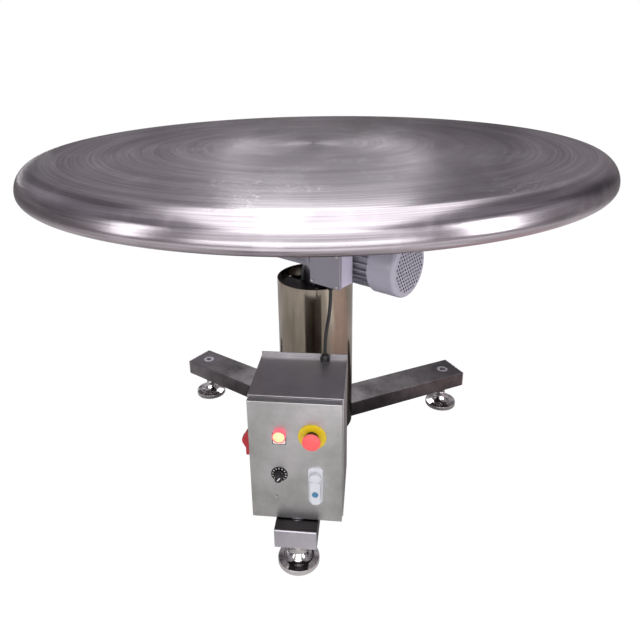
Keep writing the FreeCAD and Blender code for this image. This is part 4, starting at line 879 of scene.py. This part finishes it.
SOFTBOXES = (
    Softbox("overhead", (0.0, -0.45, 2.9), (0.0, -0.45, 0.0), (2.5, 5.7), 2.1),
    Softbox("behind", (-0.25, 2.5, 2.65), (-0.2, -0.5, 0.9), (1.4, 1.8), 2.2),
    Softbox("before", (0.2, -3.4, 1.70), (0.2, 0.0, 1.70), (4.6, 1.20), 1.00),
    Softbox("before_low", (0.2, -3.4, 0.65), (0.2, 0.0, 0.65), (4.6, 0.80), 2.7),
    Softbox("before_high", (0.2, -3.4, 2.85), (0.2, 0.0, 2.85), (4.6, 1.00), 1.60),
    Softbox("left", (-2.6, -2.0, 1.3), (0.0, 0.0, 0.5), (0.5, 1.8), 5.0),
    Softbox("left_back", (-2.5, 2.0, 1.00), (-0.5, -0.3, 0.88), (1.1, 0.15), 1.8),
    Softbox("right", (2.6, -1.5, 1.3), (0.0, 0.0, 0.5), (0.8, 1.8), 6.0),
)


@dataclass(frozen=True)
class Patch:
    """A round patch of the floor that only reflections see."""

    centre: tuple[float, float]
    reach: tuple[float, float]
    tone: str

    def over(self, tree: Tree, at: Socket, under: Socket) -> Socket:
        """Lays the patch over a colour.

        Args:
            tree: the floor's node tree.
            at: the floor's coordinates, in metres.
            under: the colour so far.

        Returns:
            The new colour.
        """
        shift = tuple(-c / r for c, r in zip(self.centre, self.reach))
        stretch = (1 / self.reach[0], 1 / self.reach[1], 0)
        place = node(tree, "Mapping", {0: at, "Location": (*shift, 0), "Scale": stretch})
        far = node(tree, "VectorMath", {0: place}, operation="LENGTH").outputs["Value"]
        share = node(tree, "MapRange", {0: far, 1: 0.7, 2: 1.15, 3: 1.0, 4: 0.0}, **SMOOTH)
        return node(tree, "Mix", {0: share, 6: under, 7: linear(self.tone)}, **RGBA).outputs[2]


# Painted reflections in the floor, which only the metal mirrors: the grey patches round the base and before
# the door's right side are painted shadow of the table, the dark one before the column is a painted dark
# band, the pink ones are painted coloured reflections and the white ones are painted highlights.
PATCHES = (
    Patch((0.0, -2.15), (1.3, 0.60), "#ffffff"),
    Patch((-0.20, -1.22), (0.19, 0.22), "#7a757a"),
    Patch((0.95, -0.10), (0.55, 0.60), "#d9c3c2"),
    Patch((1.75, 4.10), (0.45, 1.40), "#cf6f84"),
    Patch((0.0, 0.05), (0.42, 0.42), "#6a6667"),
    Patch((0.15, -0.76), (0.12, 0.22), "#9a9d97"),
    Patch((0.86, -0.80), (0.13, 0.40), "#ffffff"),
)


def set_stage() -> None:
    """The pale floor, the world and the lights."""
    half = 60
    verts = [(-half, -half, 0), (half, -half, 0), (half, half, 0), (-half, half, 0)]
    mesh = bpy.data.meshes.new("floor")
    mesh.from_pydata(verts, [], [(0, 1, 2, 3)])
    material, tree, shader, at = new_material("floor")
    path = node(tree, "LightPath")
    mirrored = node(tree, "TexNoise", {"Vector": at, "Scale": 1.6, "Detail": 2.0, **RAGGED})
    mirrored = node(tree, "ValToRGB", {0: mirrored}, ((0.35, "#b7b4b3"), (0.65, "#dddbda"))).outputs[0]
    for patch in PATCHES:
        mirrored = patch.over(tree, at, mirrored)
    links = {0: path.outputs["Is Glossy Ray"], 6: linear("#f4f3f4"), 7: mirrored}
    tone = node(tree, "Mix", links, **RGBA).outputs[2]
    feed(tree, shader, {"Base Color": tone, "Roughness": 0.9, "Specular IOR Level": 0.1})
    lit = node(tree, "Emission", {0: (1, 1, 1, 1), 1: 1.04})
    share = node(tree, "Math", {0: path.outputs["Is Camera Ray"], 1: 0.96}, **TIMES)
    mix = node(tree, "MixShader", {0: share, 1: shader, 2: lit})
    feed(tree, tree.nodes["Material Output"], {0: mix})
    mesh.materials.append(material)
    floor = bpy.data.objects.new("floor", mesh)
    bpy.context.scene.collection.objects.link(floor)
    set_world()
    for softbox in SOFTBOXES:
        softbox.hang()
    bpy.context.scene.view_settings.view_transform = "Standard"


def main() -> None:
    """Builds the scene in order."""
    logging.basicConfig(level=logging.INFO, format="%(message)s")
    studio = Studio(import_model())
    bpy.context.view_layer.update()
    for kind in METALS:
        studio.finishes[kind.name] = turned_disc(kind) if kind.grain is Grain.RINGS else metal(kind)
    for kind in PLAINS:
        studio.finishes[kind.name] = moulded(kind)
    set_stage()
    set_camera()
    dress_nodes(studio)
    Turntable().build(studio)
    Column().build(studio)
    for side, angle in (("front", 0), ("right", 120), ("left", 240)):
        Foot(side, angle).build(studio)
    Cable().build(studio)
    DoorFittings().build(studio)


if __name__ == "__main__":
    main()
